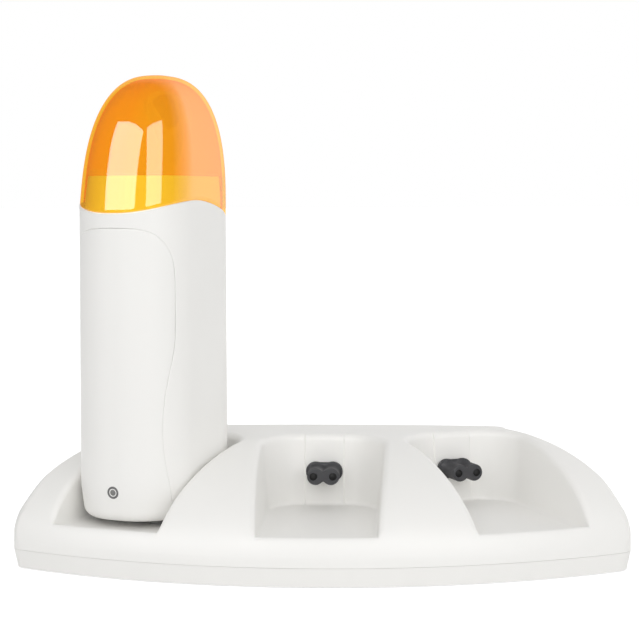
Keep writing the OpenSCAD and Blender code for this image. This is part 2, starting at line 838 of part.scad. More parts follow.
module cap() {
    outer = [
        for (k = [0:cap_rings - 1], i = [0:outline_n - 1])
            let (edge = seat_at(hand_y + outline_pt(i, 0).y) + cap_gap)
            dome_pt(i, 0, edge + (cap_top_z - edge) * sin(90 * k / cap_rings))
    ];
    inner = [
        for (k = [0:cap_rings - 1], i = [0:outline_n - 1])
            let (edge = seat_at(hand_y + outline_pt(i, cap_wall).y) + cap_gap)
            dome_pt(i, cap_wall, edge + (cap_top_z - cap_wall - edge) * sin(90 * k / cap_rings))
    ];
    count = cap_rings * outline_n;
    last = (cap_rings - 1) * outline_n;
    poles = [
        [0, hand_y + cap_lean, cap_top_z], [0, hand_y + cap_lean, cap_top_z - cap_wall]
    ];
    color([0.98, 0.62, 0.15, 0.75]) at_hand() polyhedron(
        points = concat(outer, inner, poles),
        faces = concat(
            [for (k = [0:cap_rings - 2]) each band(k * outline_n, (k + 1) * outline_n)],
            [for (k = [0:cap_rings - 2]) each band(count + (k + 1) * outline_n, count + k * outline_n)],
            band(count, 0),
            [for (i = [0:outline_n - 1]) [last + i, 2 * count, last + (i + 1) % outline_n]],
            [for (i = [0:outline_n - 1])
                [count + last + (i + 1) % outline_n, 2 * count + 1, count + last + i]]
        )
    );
}

// The neck frame draws in from the cap towards its top, so that the leaning cap lifts off it
function neck_inset_at(z) =
    neck_inset + neck_draft * max(0, z - dome_z) / (neck_top_z - dome_z);

// The frame in the warmer's mouth: a tapered ring that the cap slides over, with a plate
// that closes the gap round the heating well
module neck_frame() {
    levels = [neck_base_z, dome_z, dome_z + (neck_top_z - dome_z) / 2, neck_top_z];
    rings = len(levels);
    outer = [for (z = levels, i = [0:outline_n - 1]) dome_pt(i, neck_inset_at(z), z)];
    inner = [for (z = levels, i = [0:outline_n - 1]) dome_pt(i, neck_inset_at(z) + neck_t, z)];
    count = rings * outline_n;
    last = (rings - 1) * outline_n;
    color([0.96, 0.95, 0.90]) at_hand() {
        polyhedron(
            points = concat(outer, inner),
            faces = concat(
                [for (k = [0:rings - 2]) each band(k * outline_n, (k + 1) * outline_n)],
                [for (k = [0:rings - 2])
                    each band(count + (k + 1) * outline_n, count + k * outline_n)],
                band(count, 0),
                band(last, count + last)
            )
        );
        translate([0, 0, well_top_z]) linear_extrude(plate_t) difference() {
            hand_outline(neck_inset + neck_t / 2);
            translate([0, well_y]) round_rect(well_w, well_d, well_r);
        }
    }
}

module heating_well() {
    color("silver") at_hand() translate([0, well_y, 0]) difference() {
        translate([0, 0, well_bottom_z]) linear_extrude(well_top_z - well_bottom_z)
            round_rect(well_w + 2 * well_t, well_d + 2 * well_t, well_r + well_t);
        translate([0, 0, well_floor_z]) linear_extrude(well_top_z - well_floor_z + over)
            round_rect(well_w, well_d, well_r);
    }
}

module heating_element() {
    color([0.85, 0.83, 0.78]) at_hand()
        translate([-heater_w / 2, well_back, heater_z]) cube([heater_w, heater_t, heater_h]);
}

// A spring clip over the element, with two feet on the well
module element_clip() {
    height = heater_h + 12;
    color("silver") at_hand() translate([-clip_w / 2, well_back, heater_z - 6]) {
        translate([0, heater_t, 0]) cube([clip_w, clip_t, height]);
        for (z = [0, height - clip_t]) translate([0, 0, z]) cube([clip_w, heater_t + clip_t, clip_t]);
    }
}

module thermal_fuse() {
    color([0.9, 0.9, 0.85]) at_hand() {
        translate([0, well_front - fuse_r, fuse_z]) cylinder(r = fuse_r, h = fuse_l, $fn = 32);
        for (z = [fuse_z - 5, fuse_z + fuse_l])
            translate([0, well_front - fuse_r, z]) cylinder(r = 0.5, h = 5, $fn = 16);
    }
}

module indicator_ring() {
    color(grey) at_hand() difference() {
        union() {
            bar_y(0, lamp_z, lamp_ring_r, lamp_face, lamp_face + ring_depth, 48);
            bar_y(0, lamp_z, lamp_ring_r + flange_w, flange_y, lamp_face + ring_depth, 48);
        }
        bar_y(0, lamp_z, lamp_r + 0.05, lamp_face - over, lamp_face + ring_depth + over, 48);
    }
}

module indicator_lens() {
    color([0.75, 0.78, 0.74]) at_hand()
        bar_y(0, lamp_z, lamp_r, lamp_face + 0.1, lamp_face + ring_depth - 0.6, 48);
}

module indicator_led() {
    led_r = 1.5;
    color([0.8, 0.85, 0.8]) at_hand()
        bar_y(0, lamp_z, led_r, lamp_face + ring_depth - 0.5, board_front);
}

module circuit_board() {
    board_w = 18;
    board_h = 24;
    color([0.15, 0.45, 0.25]) at_hand()
        translate([-board_w / 2, board_front, lamp_z - 6]) cube([board_w, board_t, board_h]);
}

module at_socket() {
    translate([0, hand_back, 0]) children();
}

module warmer_socket() {
    depth = hand_back - socket_bottom;
    color(grey) at_hand() difference() {
        intersection() {
            at_socket() socket_body(depth);
            translate([0, 0, nose_z - socket_h]) linear_extrude(2 * socket_h) hand_outline(0.2);
        }
        at_socket() socket_recess(depth);
    }
}

module socket_pins() {
    color("silver") at_hand() at_socket() socket_pin_pair(hand_back - socket_bottom);
}

// A lead from a pin's tail, under the well, and up to the heating element
module warmer_wire(x) {
    tail = socket_inner - pin_tail;
    under_z = screw_z - boss_r - wire_r - 0.6;
    side_x = screw_x - boss_r - wire_r - 0.4;
    up_y = well_back + 1.6 + wire_r;
    rod([
        [x * pin_pitch / 2, tail, nose_z], [x * pin_pitch / 2, tail - 3, nose_z],
        [x * pin_pitch / 2, tail - 3, under_z], [x * side_x, up_y, under_z + lead_rise],
        [x * side_x, up_y, heater_z - 0.1]
    ], wire_r);
}

module warmer_wire_live() {
    color("saddlebrown") at_hand() warmer_wire(1);
}

module warmer_wire_neutral() {
    color("royalblue") at_hand() warmer_wire(-1);
}

// ---------------------------------------------------------------- the parts

base_shell();
bottom_tray();
base_feet();
base_screws();
at_bay(-1) plug_nose();  // plug_nose_left
at_bay(0) plug_nose();  // plug_nose_middle
at_bay(1) plug_nose();  // plug_nose_right
at_bay(-1) contacts();  // contacts_left
at_bay(0) contacts();  // contacts_middle
at_bay(1) contacts();  // contacts_right
base_wire_live();
base_wire_neutral();
mains_inlet();
mains_pins();
warmer_shell();
front_panel();
neck_frame();
heating_well();
heating_element();
element_clip();
thermal_fuse();
indicator_lens();
indicator_ring();
indicator_led();
circuit_board();
warmer_socket();
socket_pins();
warmer_wire_live();
warmer_wire_neutral();
warmer_screws();
warmer_feet();
cap();
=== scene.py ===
import math

import bmesh
import bpy
import numpy as np
from bpy.props import FloatProperty, FloatVectorProperty, PointerProperty
from mathutils import Matrix, Vector


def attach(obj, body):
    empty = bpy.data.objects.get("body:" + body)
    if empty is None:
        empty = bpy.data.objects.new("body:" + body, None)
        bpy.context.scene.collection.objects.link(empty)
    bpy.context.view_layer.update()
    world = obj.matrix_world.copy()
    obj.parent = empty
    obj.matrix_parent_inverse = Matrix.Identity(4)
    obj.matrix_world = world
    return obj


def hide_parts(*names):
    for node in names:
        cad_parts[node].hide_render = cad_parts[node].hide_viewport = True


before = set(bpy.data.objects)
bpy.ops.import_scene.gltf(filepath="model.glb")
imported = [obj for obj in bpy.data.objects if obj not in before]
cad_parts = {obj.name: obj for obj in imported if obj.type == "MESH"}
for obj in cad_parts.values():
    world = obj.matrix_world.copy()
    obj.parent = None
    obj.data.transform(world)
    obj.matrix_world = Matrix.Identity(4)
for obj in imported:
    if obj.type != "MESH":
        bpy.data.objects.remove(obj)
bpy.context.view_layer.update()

bl_info = {
    "name": "Roll On Wax Heater",
    "version": (1, 0, 0),
    "blender": (4, 5, 0),
    "location": "View3D > Sidebar > Wax Heater",
    "description": "Skins, finishes, camera and studio of a docked cartridge wax heater",
    "category": "Object",
}

MM = 0.001
PHOTO_SIZE = 639
SENSOR_WIDTH = 36.0
LEFT, MIDDLE, RIGHT = -1, 0, 1
SIDE_NAMES = {LEFT: "left", MIDDLE: "middle", RIGHT: "right"}


# ------------------------------------------------------------------ sizes and colours


def length(name, description, millimetres):
    """A length in metres, given here in millimetres."""
    return FloatProperty(
        name=name, description=description, default=millimetres * MM, unit="LENGTH", subtype="DISTANCE"
    )


def angle(name, description, degrees):
    """An angle in radians, given here in degrees."""
    return FloatProperty(
        name=name, description=description, default=math.radians(degrees), unit="ROTATION", subtype="ANGLE"
    )


def colour(name, description, red, green, blue):
    """A colour, given as the display values 0 to 255 that it shows as under plain white light."""
    linear = [srgb / 12.92 if srgb <= 0.04045 else ((srgb + 0.055) / 1.055) ** 2.4
              for srgb in (red / 255, green / 255, blue / 255)]
    return FloatVectorProperty(
        name=name, description=description, default=linear, size=3, min=0, max=1, subtype="COLOR"
    )


def number(name, description, default):
    """A plain number."""
    return FloatProperty(name=name, description=description, default=default)


def place(name, description, x, y, z):
    """A place in metres."""
    return FloatVectorProperty(
        name=name, description=description, default=(x, y, z), size=3, unit="LENGTH", subtype="TRANSLATION"
    )


class BaseSizes(bpy.types.PropertyGroup):
    """Sizes of the fan-shaped base."""

    bay_radius: length("Bay radius", "From the fan axis to the front faces of the plug noses", 180.5)
    bay_angle: angle("Bay angle", "Between two neighbouring bays", 20.8)
    side_angle: angle("Side angle", "From the middle of the base to each side wall", 31.8)
    front_reach: length("Front reach", "From the nose line to the base's front", 73.3)
    back_reach: length("Back reach", "From the nose line to the straight back wall", 50)
    curve_start: length("Curve start", "Behind the nose line, where the curved front begins", 15)
    top_height: length("Top height", "Height of the top where the curved front begins", 49.5)
    top_rise: length("Top rise", "Rise of the top from there to the back edge", 1.1)
    corner_radius: length("Corner radius", "Radius of the upright corners", 9)
    wall: length("Wall", "Thickness of the moulding", 2.4)
    bottom: length("Bottom edge", "Height of the shell's bottom edge", 8.5)
    strip: length("Bottom strip", "Height of the upright strip above the bottom edge", 1.1)
    edge_radius: length("Edge radius", "Rounding between the top and the side and back walls", 3)
    edge_band: length("Edge band", "Width of the rounded band along a side wall", 3.9)
    front_band: length("Front band", "By how much that band widens up to the front corner", 3.4)
    front_start: length("Front start", "Reach at which the band starts to widen", 48)
    front_span: length("Front span", "Reach over which the band widens", 16)
    front_soft: number("Front softness", "Share by which the edge's radius grows over the same reach", 1.1)


class BaySizes(bpy.types.PropertyGroup):
    """Sizes of a docking bay."""

    half_width: length("Half width", "Half the width of a bay at its floor", 24.4)
    lean: number("Lean", "Sideways lean of a wall per unit of height", 0.09)
    floor: length("Floor", "Height of the bay's floor", 18.1)
    depth: length("Depth", "Of the hollow back wall, behind the nose line", 17)
    hollow_radius: length("Hollow radius", "Radius of the back wall, seen from above", 65)
    pad_width: length("Pad width", "Width of the raised pad behind a nose", 17.6)
    pad_reach: length("Pad reach", "From the nose line back to the pad's face", 15.4)
    lip_height: length("Lip height", "Height of the low lip at the mouth", 2.0)
    lip_reach: length("Lip reach", "From the nose line to the foot of the lip", 66.6)
    foot_radius: length("Foot radius", "Rounding between the floor and the walls", 1.6)
    brow_radius: length("Brow radius", "Rounding between the walls and the top", 3.4)
    corner_radius: length("Corner radius", "Radius of the upright corners at the back, at the floor", 12)


class NoseSizes(bpy.types.PropertyGroup):
    """Sizes of the plug noses that stand out of the bays' back walls."""

    width: length("Width", "Across both barrels", 14.3)
    height: length("Height", "Of a barrel", 7.5)
    waist: length("Waist", "Depth of the groove between the barrels", 1.5)
    height_up: length("Height up", "Height of the noses' centre lines", 33.4)
    collar_width: length("Collar width", "Width of the collar at the wall", 16.5)
    collar_height: length("Collar height", "Height of the collar at the wall", 8.8)
    collar: length("Collar", "Thickness of the collar", 1.3)
    pitch: length("Pitch", "Between the two contact holes", 8.6)
    hole: length("Hole", "Radius of a contact hole's mouth", 1.65)


class WarmerSizes(bpy.types.PropertyGroup):
    """Sizes of the warmer's body, which stands in the left bay."""

    width: length("Width", "Across the bay", 50.7)
    depth: length("Depth", "Front to back", 73.7)
    corner_radius: length("Corner radius", "Radius of the upright corners", 23.3)
    back_gap: length("Back gap", "From the nose line to the warmer's back", 13.4)
    bottom: length("Bottom", "Height of the warmer's underside", 21.2)
    seat_height: length("Seat height", "Height of the cap's seat halfway along each side", 154.9)
    seat_radius: length("Seat radius", "Radius of the seat's arch, seen from the side", 75)
    seat_reach: length("Seat reach", "From the nose line to the arch's highest point", 32)
    wall: length("Wall", "Thickness of the mouldings", 2)
    seam: length("Seam", "Gap of the seam round the front panel", 0.04)
    panel_half: length("Panel half width", "Half the width of the front panel", 22.9)
    panel_waist: length("Panel waist", "Half the width of the front panel at its waist", 19.4)
    waist_height: length("Waist height", "Height of the panel's waist", 60)
    panel_top: length("Panel top", "Height of the panel's top edge", 143.5)
    panel_crown: length("Panel crown", "Height over which the panel's top rounds off", 30)
    panel_power: number("Panel power", "Exponent of the panel's rounded top; 2 is an ellipse", 4)
    seam_soft: length("Seam rounding", "Radius of the round edges along the seam", 0.45)
    lamp_height: length("Lamp height", "Height of the indicator lamp", 33.8)
    lamp_ring: length("Lamp ring", "Outer radius of the dark ring round the lamp", 2.6)
    lamp_lens: length("Lamp lens", "Radius of the lamp's lens", 1.7)
    forward: length("Forward lean", "How much further forward the front's foot stands than its seat", 1.7)


class CapSizes(bpy.types.PropertyGroup):
    """Sizes of the clear amber cap."""

    top: length("Top", "Height of the cap's top", 208.7)
    wall: length("Wall", "Thickness of the cap", 1.45)
    gap: length("Gap", "Between the cap and its seat", 0.2)
    lean: length("Lean", "Backward lean of the cap's top", 5.3)
    taper: number("Taper", "Share of its width that the cap loses by draft", 0.05)
    power: number("Power", "Exponent of the rounded outline; 2 is an ellipse", 2.7)
    dome_start: length("Dome start", "Height above which the cap narrows", 150)


class Finishes(bpy.types.PropertyGroup):
    """Colours of the finishes, and how rough they are."""

    white: colour("White", "White moulded plastic", 247, 246, 243)
    cream: colour("Cream", "Heat-resistant moulding of the neck frame", 250, 246, 232)
    grey: colour("Dark grey", "Insulating moulding of the noses", 62, 62, 65)
    amber: colour("Amber", "Colour that the cap scatters", 252, 150, 34)
    amber_clear: colour("Amber, clear", "Colour that each face of the cap lets through", 255, 229, 110)
    amber_deepening: number("Amber, deepening", "Power of the clear tint where it is seen edge on", 6)
    amber_edge: number("Amber, edge", "How far the deeper tint spreads in from the cap's edge", 0.06)
    amber_milk: number("Amber, milk", "Share of the light that the cap scatters", 0.03)
    amber_mirror: number("Amber, mirror", "Largest share of the light that the cap reflects", 0.14)
    amber_polish: number("Amber, polish", "Roughness of the cap's polish", 0.025)
    amber_index: number("Amber, index", "Index of refraction of the cap's outer polish", 1.7)
    amber_inner: number("Amber, inner index", "Index of refraction of the cap's back faces", 1.35)
    white_roughness: number("White roughness", "Roughness of the white plastic", 0.48)
    # Painted light: the neck frame glows in its own colour, an emission that brightens it under the cap
    # where its lighting falls short.
    neck_painted_glow: number("Neck glow", "Light that the neck frame gives back under the cap", 0.16)


class Studio(bpy.types.PropertyGroup):
    """The photograph's camera and the studio's lights."""

    focal_pixels: number("Focal length", "In pixels of the photograph", 1687.7)
    station: place("Camera station", "Place of the camera", 0.02903, -0.72426, 0.15415)
    heading: angle("Heading", "Turn of the camera to the left of straight back", 2.363)
    pitch: angle("Pitch", "Tilt of the camera below level", 3.986)
    roll: angle("Roll", "Roll of the camera about its own line of sight", -0.194)
    floor_half: length("Floor half width", "From the middle of the floor to its edges", 40000)
    floor_glow: number("Floor glow", "Light that the floor adds where the camera sees it", 0.72)
    world_strength: number("World", "Strength of the surrounding light", 0.72)
    world_dim: number("World, dim", "Strength that reflections see on the camera's side", 0.15)
    world_bright: number("World, bright", "Strength that reflections see behind, to the right", 1.45)
    world_turn: number("World, turn", "Weight of the right against behind in where it is bright", 0.7)
    world_start: number("World, start", "Weighted direction at which reflections start to brighten", 0.35)
    world_end: number("World, end", "Weighted direction at which they are brightest", 1.2)
    left_power: number("Left power", "Power of the left softbox in watts", 23)
    left_place: place("Left place", "Middle of the left softbox", -0.8, -1.08, 0.87)
    right_power: number("Right power", "Power of the right softbox in watts", 12)
    right_place: place("Right place", "Middle of the right softbox", 0.56, -1.15, 0.87)
    fill_power: number("Fill power", "Power of the front fill light in watts", 9.5)
    fill_place: place("Fill place", "Middle of the front fill light", 0.3, -1.6, 0.65)
    cap_spot: place("Cap spot", "What both softboxes face", -0.064, -0.01, 0.18)
    base_spot: place("Base spot", "What the front fill light faces", 0, 0, 0.08)


class HeaterSettings(bpy.types.PropertyGroup):
    """All settings of the wax heater."""

    base: PointerProperty(type=BaseSizes)
    bay: PointerProperty(type=BaySizes)
    nose: PointerProperty(type=NoseSizes)
    warmer: PointerProperty(type=WarmerSizes)
    cap: PointerProperty(type=CapSizes)
    finishes: PointerProperty(type=Finishes)
    studio: PointerProperty(type=Studio)


def settings():
    """The scene's settings of the wax heater."""
    return bpy.context.scene.wax_heater


# ------------------------------------------------------------------ meshes


def grid_faces(rows, columns, closed=False):
    """Quads of a grid of points: each joins two neighbours of a row to the same two of the next row."""
    row = np.arange(rows - 1)[:, None] * columns
    column = np.arange(columns if closed else columns - 1)[None, :]
    after = (column + 1) % columns
    quads = [row + column, row + after, row + columns + after, row + columns + column]
    return np.stack(quads, axis=-1).reshape(-1, 4)


def make_piece(name, points, faces, material, weld=1e-7):
    """A smooth mesh object from points and faces; points closer than weld become one."""
    mesh = bpy.data.meshes.new(name)
    mesh.from_pydata(points.reshape(-1, 3).tolist(), [], faces.tolist())
    build = bmesh.new()
    build.from_mesh(mesh)
    bmesh.ops.remove_doubles(build, verts=build.verts, dist=weld)
    bmesh.ops.dissolve_degenerate(build, edges=build.edges, dist=weld)
    build.to_mesh(mesh)
    build.free()
    mesh.shade_smooth()
    mesh.materials.append(material)
    piece = bpy.data.objects.new(name, mesh)
    bpy.context.scene.collection.objects.link(piece)
    return piece


def thicken(piece, wall, edge=0.0):
    """Gives an open surface its wall, to the inside, and breaks the sharp edges of its rim."""
    shell = piece.modifiers.new("wall", "SOLIDIFY")
    shell.thickness = wall
    shell.offset = -1.0
    shell.use_even_offset = False
    if edge > 0:
        soft = piece.modifiers.new("edges", "BEVEL")
        soft.width = edge
        soft.segments = 2
        soft.limit_method = "ANGLE"
        soft.angle_limit = math.radians(50)


def smoothstep(value):
    """Rises from 0 to 1 as value goes from 0 to 1, level at both ends: 3 v^2 - 2 v^3."""
    v = np.clip(value, 0, 1)
    return v * v * (3 - 2 * v)


def soft_min(a, b, size):
    """The smaller of a and b, with their crossing rounded off over size."""
    near = np.clip(1 - np.abs(a - b) / np.maximum(size, 1e-9), 0, 1)
    return np.minimum(a, b) - near * near * size / 4


def spread(start, end, count):
    """Count steps from start to end, without the end."""
    return np.linspace(start, end, count, endpoint=False)


# ------------------------------------------------------------------ leaning walls

# The largest shares of a wall's rise that its round foot and its round brow take
FOOT_SHARE, BROW_SHARE = 0.3, 0.6


def bank_shape(rise, foot, brow, lean):
    """Radii of the foot and the brow, the wall's angle, and where the foot starts and the brow ends."""
    foot = np.minimum(foot, FOOT_SHARE * rise)
    brow = np.minimum(brow, BROW_SHARE * rise)
    turn = math.atan(lean)
    foot_x = -foot * (1 - math.sin(turn)) / math.cos(turn)
    brow_x = lean * (rise - brow) + brow / math.cos(turn)
    return foot, brow, turn, foot_x, brow_x


def bank(x, rise, foot, brow, lean):
    """Height of a leaning wall at distance x beyond the line where it would meet the floor.

    From the floor it goes up a concave arc of radius foot, then a straight wall that moves
    out by lean for each unit of height, then a convex arc of radius brow that ends level at
    height rise. Both radii shrink where the rise is too small for them.
    """
    rise = np.maximum(rise, 1e-6)
    foot, brow, turn, foot_x, brow_x = bank_shape(rise, foot, brow, lean)
    in_foot = foot - np.sqrt(np.maximum(foot ** 2 - np.clip(x - foot_x, 0, foot) ** 2, 0))
    in_brow = rise - brow + np.sqrt(np.maximum(brow ** 2 - np.clip(brow_x - x, 0, brow) ** 2, 0))
    height = np.where(x < foot_x + foot * math.cos(turn), in_foot, x / lean)
    height = np.where(x > brow_x - brow * math.cos(turn), in_brow, height)
    return np.clip(np.where(x < foot_x, 0, height), 0, rise)


def bank_stops(rise, foot, brow, lean, steps=(5, 7, 9)):
    """Distances x at which a bank is sampled: evenly round its foot, up its wall and round its brow."""
    rise = np.maximum(rise, 1e-4)[..., None]
    foot, brow, turn, foot_x, brow_x = bank_shape(rise, foot, brow, lean)
    start = foot_x + foot * math.cos(turn)
    end = brow_x - brow * math.cos(turn)
    return np.concatenate([
        foot_x + foot * np.sin(spread(0, math.pi / 2 - turn, steps[0])),
        start + (end - start) * spread(0, 1, steps[1]),
        brow_x - brow * np.cos(np.linspace(turn, math.pi / 2, steps[2])),
    ], axis=-1)


# ------------------------------------------------------------------ the base

# The low lip at a bay's mouth: radii of its foot and brow, and how much its face leans
LIP_FOOT, LIP_BROW, LIP_LEAN = 0.5 * MM, 0.7 * MM, 0.5
# Lean of the base's outer walls, which have no round foot, and the rounding of the front's edge
WALL_LEAN, NO_FOOT, FRONT_EDGE = 0.015, 1e-6, 0.25 * MM
# Points round each upright corner of the base
CORNER_STEPS = 14
# A bay's columns: how far inside its walls they start to be drawn in, and how near they may come
# to the middle of a ridge and to a side wall's band
DRAW_IN, RIDGE_MARGIN, SIDE_MARGIN = 3 * MM, 0.35 * MM, 0.5 * MM


class BasePlan:
    """The base's height at any place, and the frame of each of its bays."""

    def __init__(self, base, bay):
        self.base = base
        self.bay = bay
        self.axis_y = base.bay_radius + (base.front_reach - base.back_reach) / 2
        self.outer = base.bay_radius + base.front_reach

    def near_front(self, radius):
        """How near a side wall's place is to the front corner, where its edge is rounder."""
        base = self.base
        return smoothstep((radius - base.bay_radius - base.front_start) / base.front_span)

    def inset_at(self, radius):
        """Width of the rounded band along a side wall: it widens towards the front corner."""
        return self.base.edge_band + self.base.front_band * self.near_front(radius)

    def in_bay(self, side, across, reach):
        """x and y of a place given across a bay and along it from the nose line."""
        turn = side * self.base.bay_angle
        radius = self.base.bay_radius + reach
        x = radius * math.sin(turn) + across * math.cos(turn)
        y = self.axis_y - radius * math.cos(turn) + across * math.sin(turn)
        return x, y

    def from_bay(self, side, x, y):
        """Across and reach in a bay's frame of the place x, y."""
        turn = side * self.base.bay_angle
        dy = y - self.axis_y
        across = x * math.cos(turn) + dy * math.sin(turn)
        reach = x * math.sin(turn) - dy * math.cos(turn) - self.base.bay_radius
        return across, reach

    def top(self, reach):
        """Height of the top: a quarter ellipse down to the front, a slight rise to the back."""
        base = self.base
        low = base.bottom + base.strip
        share = np.clip((reach + base.curve_start) / (base.front_reach + base.curve_start), 0, 1)
        curve = low + (base.top_height - low) * np.sqrt(1 - share ** 2)
        back = np.clip((-reach - base.curve_start) / (base.back_reach - base.curve_start), 0, 1)
        return curve + base.top_rise * back

    def back_line(self, across):
        """Depth of a bay's back wall behind the nose line: a hollow arc with a flat pad in it."""
        bay = self.bay
        sag = bay.hollow_radius - np.sqrt(
            bay.hollow_radius ** 2 - np.minimum(np.abs(across), bay.half_width) ** 2
        )
        on_pad = smoothstep((bay.pad_width / 2 + 0.3 * MM - np.abs(across)) / (0.6 * MM))
        return (bay.depth - sag) * (1 - on_pad) + bay.pad_reach * on_pad

    def beyond(self, past_side, past_back):
        """Distance beyond a bay's floor, whose back corners are round: positive outside it."""
        radius = self.bay.corner_radius
        a, b = past_side + radius, past_back + radius
        return np.where((a > 0) & (b > 0), np.hypot(a, b) - radius, np.maximum(past_side, past_back))

    def round_corner(self, past_side, past_back):
        """Moves grid points so that square rings round a bay's corner become round ones.

        A point a, b from the corner's centre goes to radius max(a, b) and to an angle that is
        an eighth of a turn times min(a, b) / max(a, b), on the side of the larger.
        """
        radius = self.bay.corner_radius
        a, b = past_side + radius, past_back + radius
        far = np.maximum(np.maximum(a, b), 1e-9)
        turn = np.minimum(a, b) / far * math.pi / 4
        large, small = far * np.cos(turn), far * np.sin(turn)
        inside = (a > 0) & (b > 0)
        return (np.where(inside, np.where(a >= b, large, small) - radius, past_side),
                np.where(inside, np.where(a >= b, small, large) - radius, past_back))

    def height(self, x, y):
        """Height of the shell's outer face at x, y, apart from the rounding of its outer edges.

        It is the top's height, lowered in each bay to the floor, the lip or the bank of the
        nearer wall, whichever is highest.
        """
        bay = self.bay
        reach = np.hypot(x, y - self.axis_y) - self.base.bay_radius
        top = self.top(reach)
        result = top
        for side in (LEFT, MIDDLE, RIGHT):
            across, along = self.from_bay(side, x, y)
            rise = top - bay.floor
            beyond = self.beyond(np.abs(across) - bay.half_width, -along - self.back_line(across))
            walls = bank(beyond, rise, bay.foot_radius, bay.brow_radius, bay.lean)
            lip = bank(along - bay.lip_reach, bay.lip_height, LIP_FOOT, LIP_BROW, LIP_LEAN)
            hollow = bay.floor + np.maximum(walls, lip)
            within = smoothstep((bay.half_width - np.abs(across)) / (4 * MM))
            at_mouth = (along > bay.lip_reach - MM) * within
            result = np.minimum(result, soft_min(top, hollow, 1.2 * MM * at_mouth))
        return result

    def polar(self, radius, turn):
        """x and y, as one array, of a place given by its distance and angle about the fan axis."""
        return np.stack(np.broadcast_arrays(radius * np.sin(turn), self.axis_y - radius * np.cos(turn)))

    def radius_of(self, places):
        """Distance of places from the fan axis."""
        return np.hypot(places[0], places[1] - self.axis_y)

    def beside(self, places, sign):
        """The places at the same distance from the fan axis where a side wall's band begins."""
        radius = self.radius_of(places)
        turn = self.base.side_angle - np.arcsin(self.inset_at(radius) / radius)
        return self.polar(radius, sign * turn)


def base_plan():
    """The base's plan for the present settings."""
    config = settings()
    return BasePlan(config.base, config.bay)


def bay_block(plan, side):
    """x and y of one bay's rows and columns, from the back wall's brow to the front.

    The columns stand at the stops of the walls' banks and the rows at those of the back wall's
    bank, so both follow every edge, also round the bay's corners. On both sides the columns
    are drawn in where they would cross the middle of the ridge or the side wall's band.
    """
    base, bay = plan.base, plan.bay
    front = base.front_reach - base.corner_radius
    pad, half = bay.pad_width / 2, bay.half_width
    floor = np.concatenate([
        spread(0, pad - 0.5 * MM, 4), spread(pad - 0.5 * MM, pad + 0.5 * MM, 5),
        spread(pad + 0.5 * MM, half - bay.corner_radius, 3),
        np.linspace(half - bay.corner_radius, half - 2.2 * MM, 9),
    ])
    floor = np.concatenate([-floor[:0:-1], floor])
    run = np.concatenate([spread(0, 0.1, 9), spread(0.1, 0.85, 24), np.linspace(0.85, 1, 12)])[1:]
    shape = (bay.foot_radius, bay.brow_radius, bay.lean)
    behind = bank_stops(plan.top(-bay.depth) - bay.floor, *shape)[::-1]
    line_reach = np.concatenate([-behind - bay.depth, run * front])
    rise = np.maximum(plan.top(np.maximum(line_reach, -bay.depth)), bay.floor + 4 * MM) - bay.floor
    out = bank_stops(rise, *shape) + half
    across = np.concatenate(
        [-out[:, ::-1], np.broadcast_to(floor, (len(line_reach), len(floor))), out], axis=1
    )
    back = plan.back_line(np.clip(across, -half, half))
    count = len(behind)
    reach = np.empty_like(across)
    reach[:count] = -(back[:count] + behind[:, None])
    start = reach[count - 1]
    reach[count:] = start + (front - start) * run[:, None]
    past_side, past_back = plan.round_corner(np.abs(across) - half, -reach - back)
    across = np.sign(across) * (past_side + half)
    reach = -(past_back + plan.back_line(np.clip(across, -half, half)))
    for sign, end in ((LEFT, 0), (RIGHT, -1)):
        outer_wall = side != MIDDLE and sign == side
        turn = base.side_angle - base.bay_angle if outer_wall else base.bay_angle / 2
        radius = base.bay_radius + reach[:, end]
        margin = plan.inset_at(radius) / math.cos(turn) + SIDE_MARGIN if outer_wall else RIDGE_MARGIN
        start = half - DRAW_IN
        room = radius * math.tan(turn) - margin - start
        part = np.clip(room / (sign * across[:, end] - start), 0, 1)[:, None]
        far = sign * across
        across = sign * np.where(far > start, start + (far - start) * part, far)
    return np.stack(plan.in_bay(side, across, reach))


def base_shell_points(plan):
    """x and y of the shell's inner grid: rows from the back to the front, columns from left to right.

    Between the bays' blocks the columns lie evenly on straight lines. Behind them a strip
    runs up to the line where the back wall's rounding begins.
    """
    def between(a, b, count):
        part = np.linspace(0, 1, count + 2)[1:-1]
        return a[..., None] + (b - a)[..., None] * part

    left, middle, right = (bay_block(plan, side) for side in (LEFT, MIDDLE, RIGHT))
    first, last = plan.beside(left[..., 0], LEFT), plan.beside(right[..., -1], RIGHT)
    grid = np.concatenate([
        first[..., None], between(first, left[..., 0], 5),
        left, between(left[..., -1], middle[..., 0], 9),
        middle, between(middle[..., -1], right[..., 0], 9),
        right, between(right[..., -1], last, 5), last[..., None],
    ], axis=-1)
    base = plan.base
    depth = base.bay_radius - base.back_reach + base.corner_radius
    turn = np.arctan2(grid[0, 0], plan.axis_y - grid[1, 0])
    corner_x = depth * math.tan(base.side_angle) - base.edge_band / math.cos(base.side_angle)
    edge = np.stack([corner_x * turn / turn[-1], np.full_like(turn, plan.axis_y - depth)])[:, None]
    return np.concatenate([edge + (grid[:, :1] - edge) * spread(0, 1, 8)[:, None], grid], axis=1)


def base_corners(plan):
    """Centres of the outline's front and back corner arcs on the right, and the front arc's angle."""
    base = plan.base
    radius = base.corner_radius
    reach = plan.outer - radius
    front_turn = base.side_angle - math.asin(radius / reach)
    depth = base.bay_radius - base.back_reach + radius
    back = (depth * math.tan(base.side_angle) - radius / math.cos(base.side_angle), plan.axis_y - depth)
    return plan.polar(reach, front_turn), back, front_turn


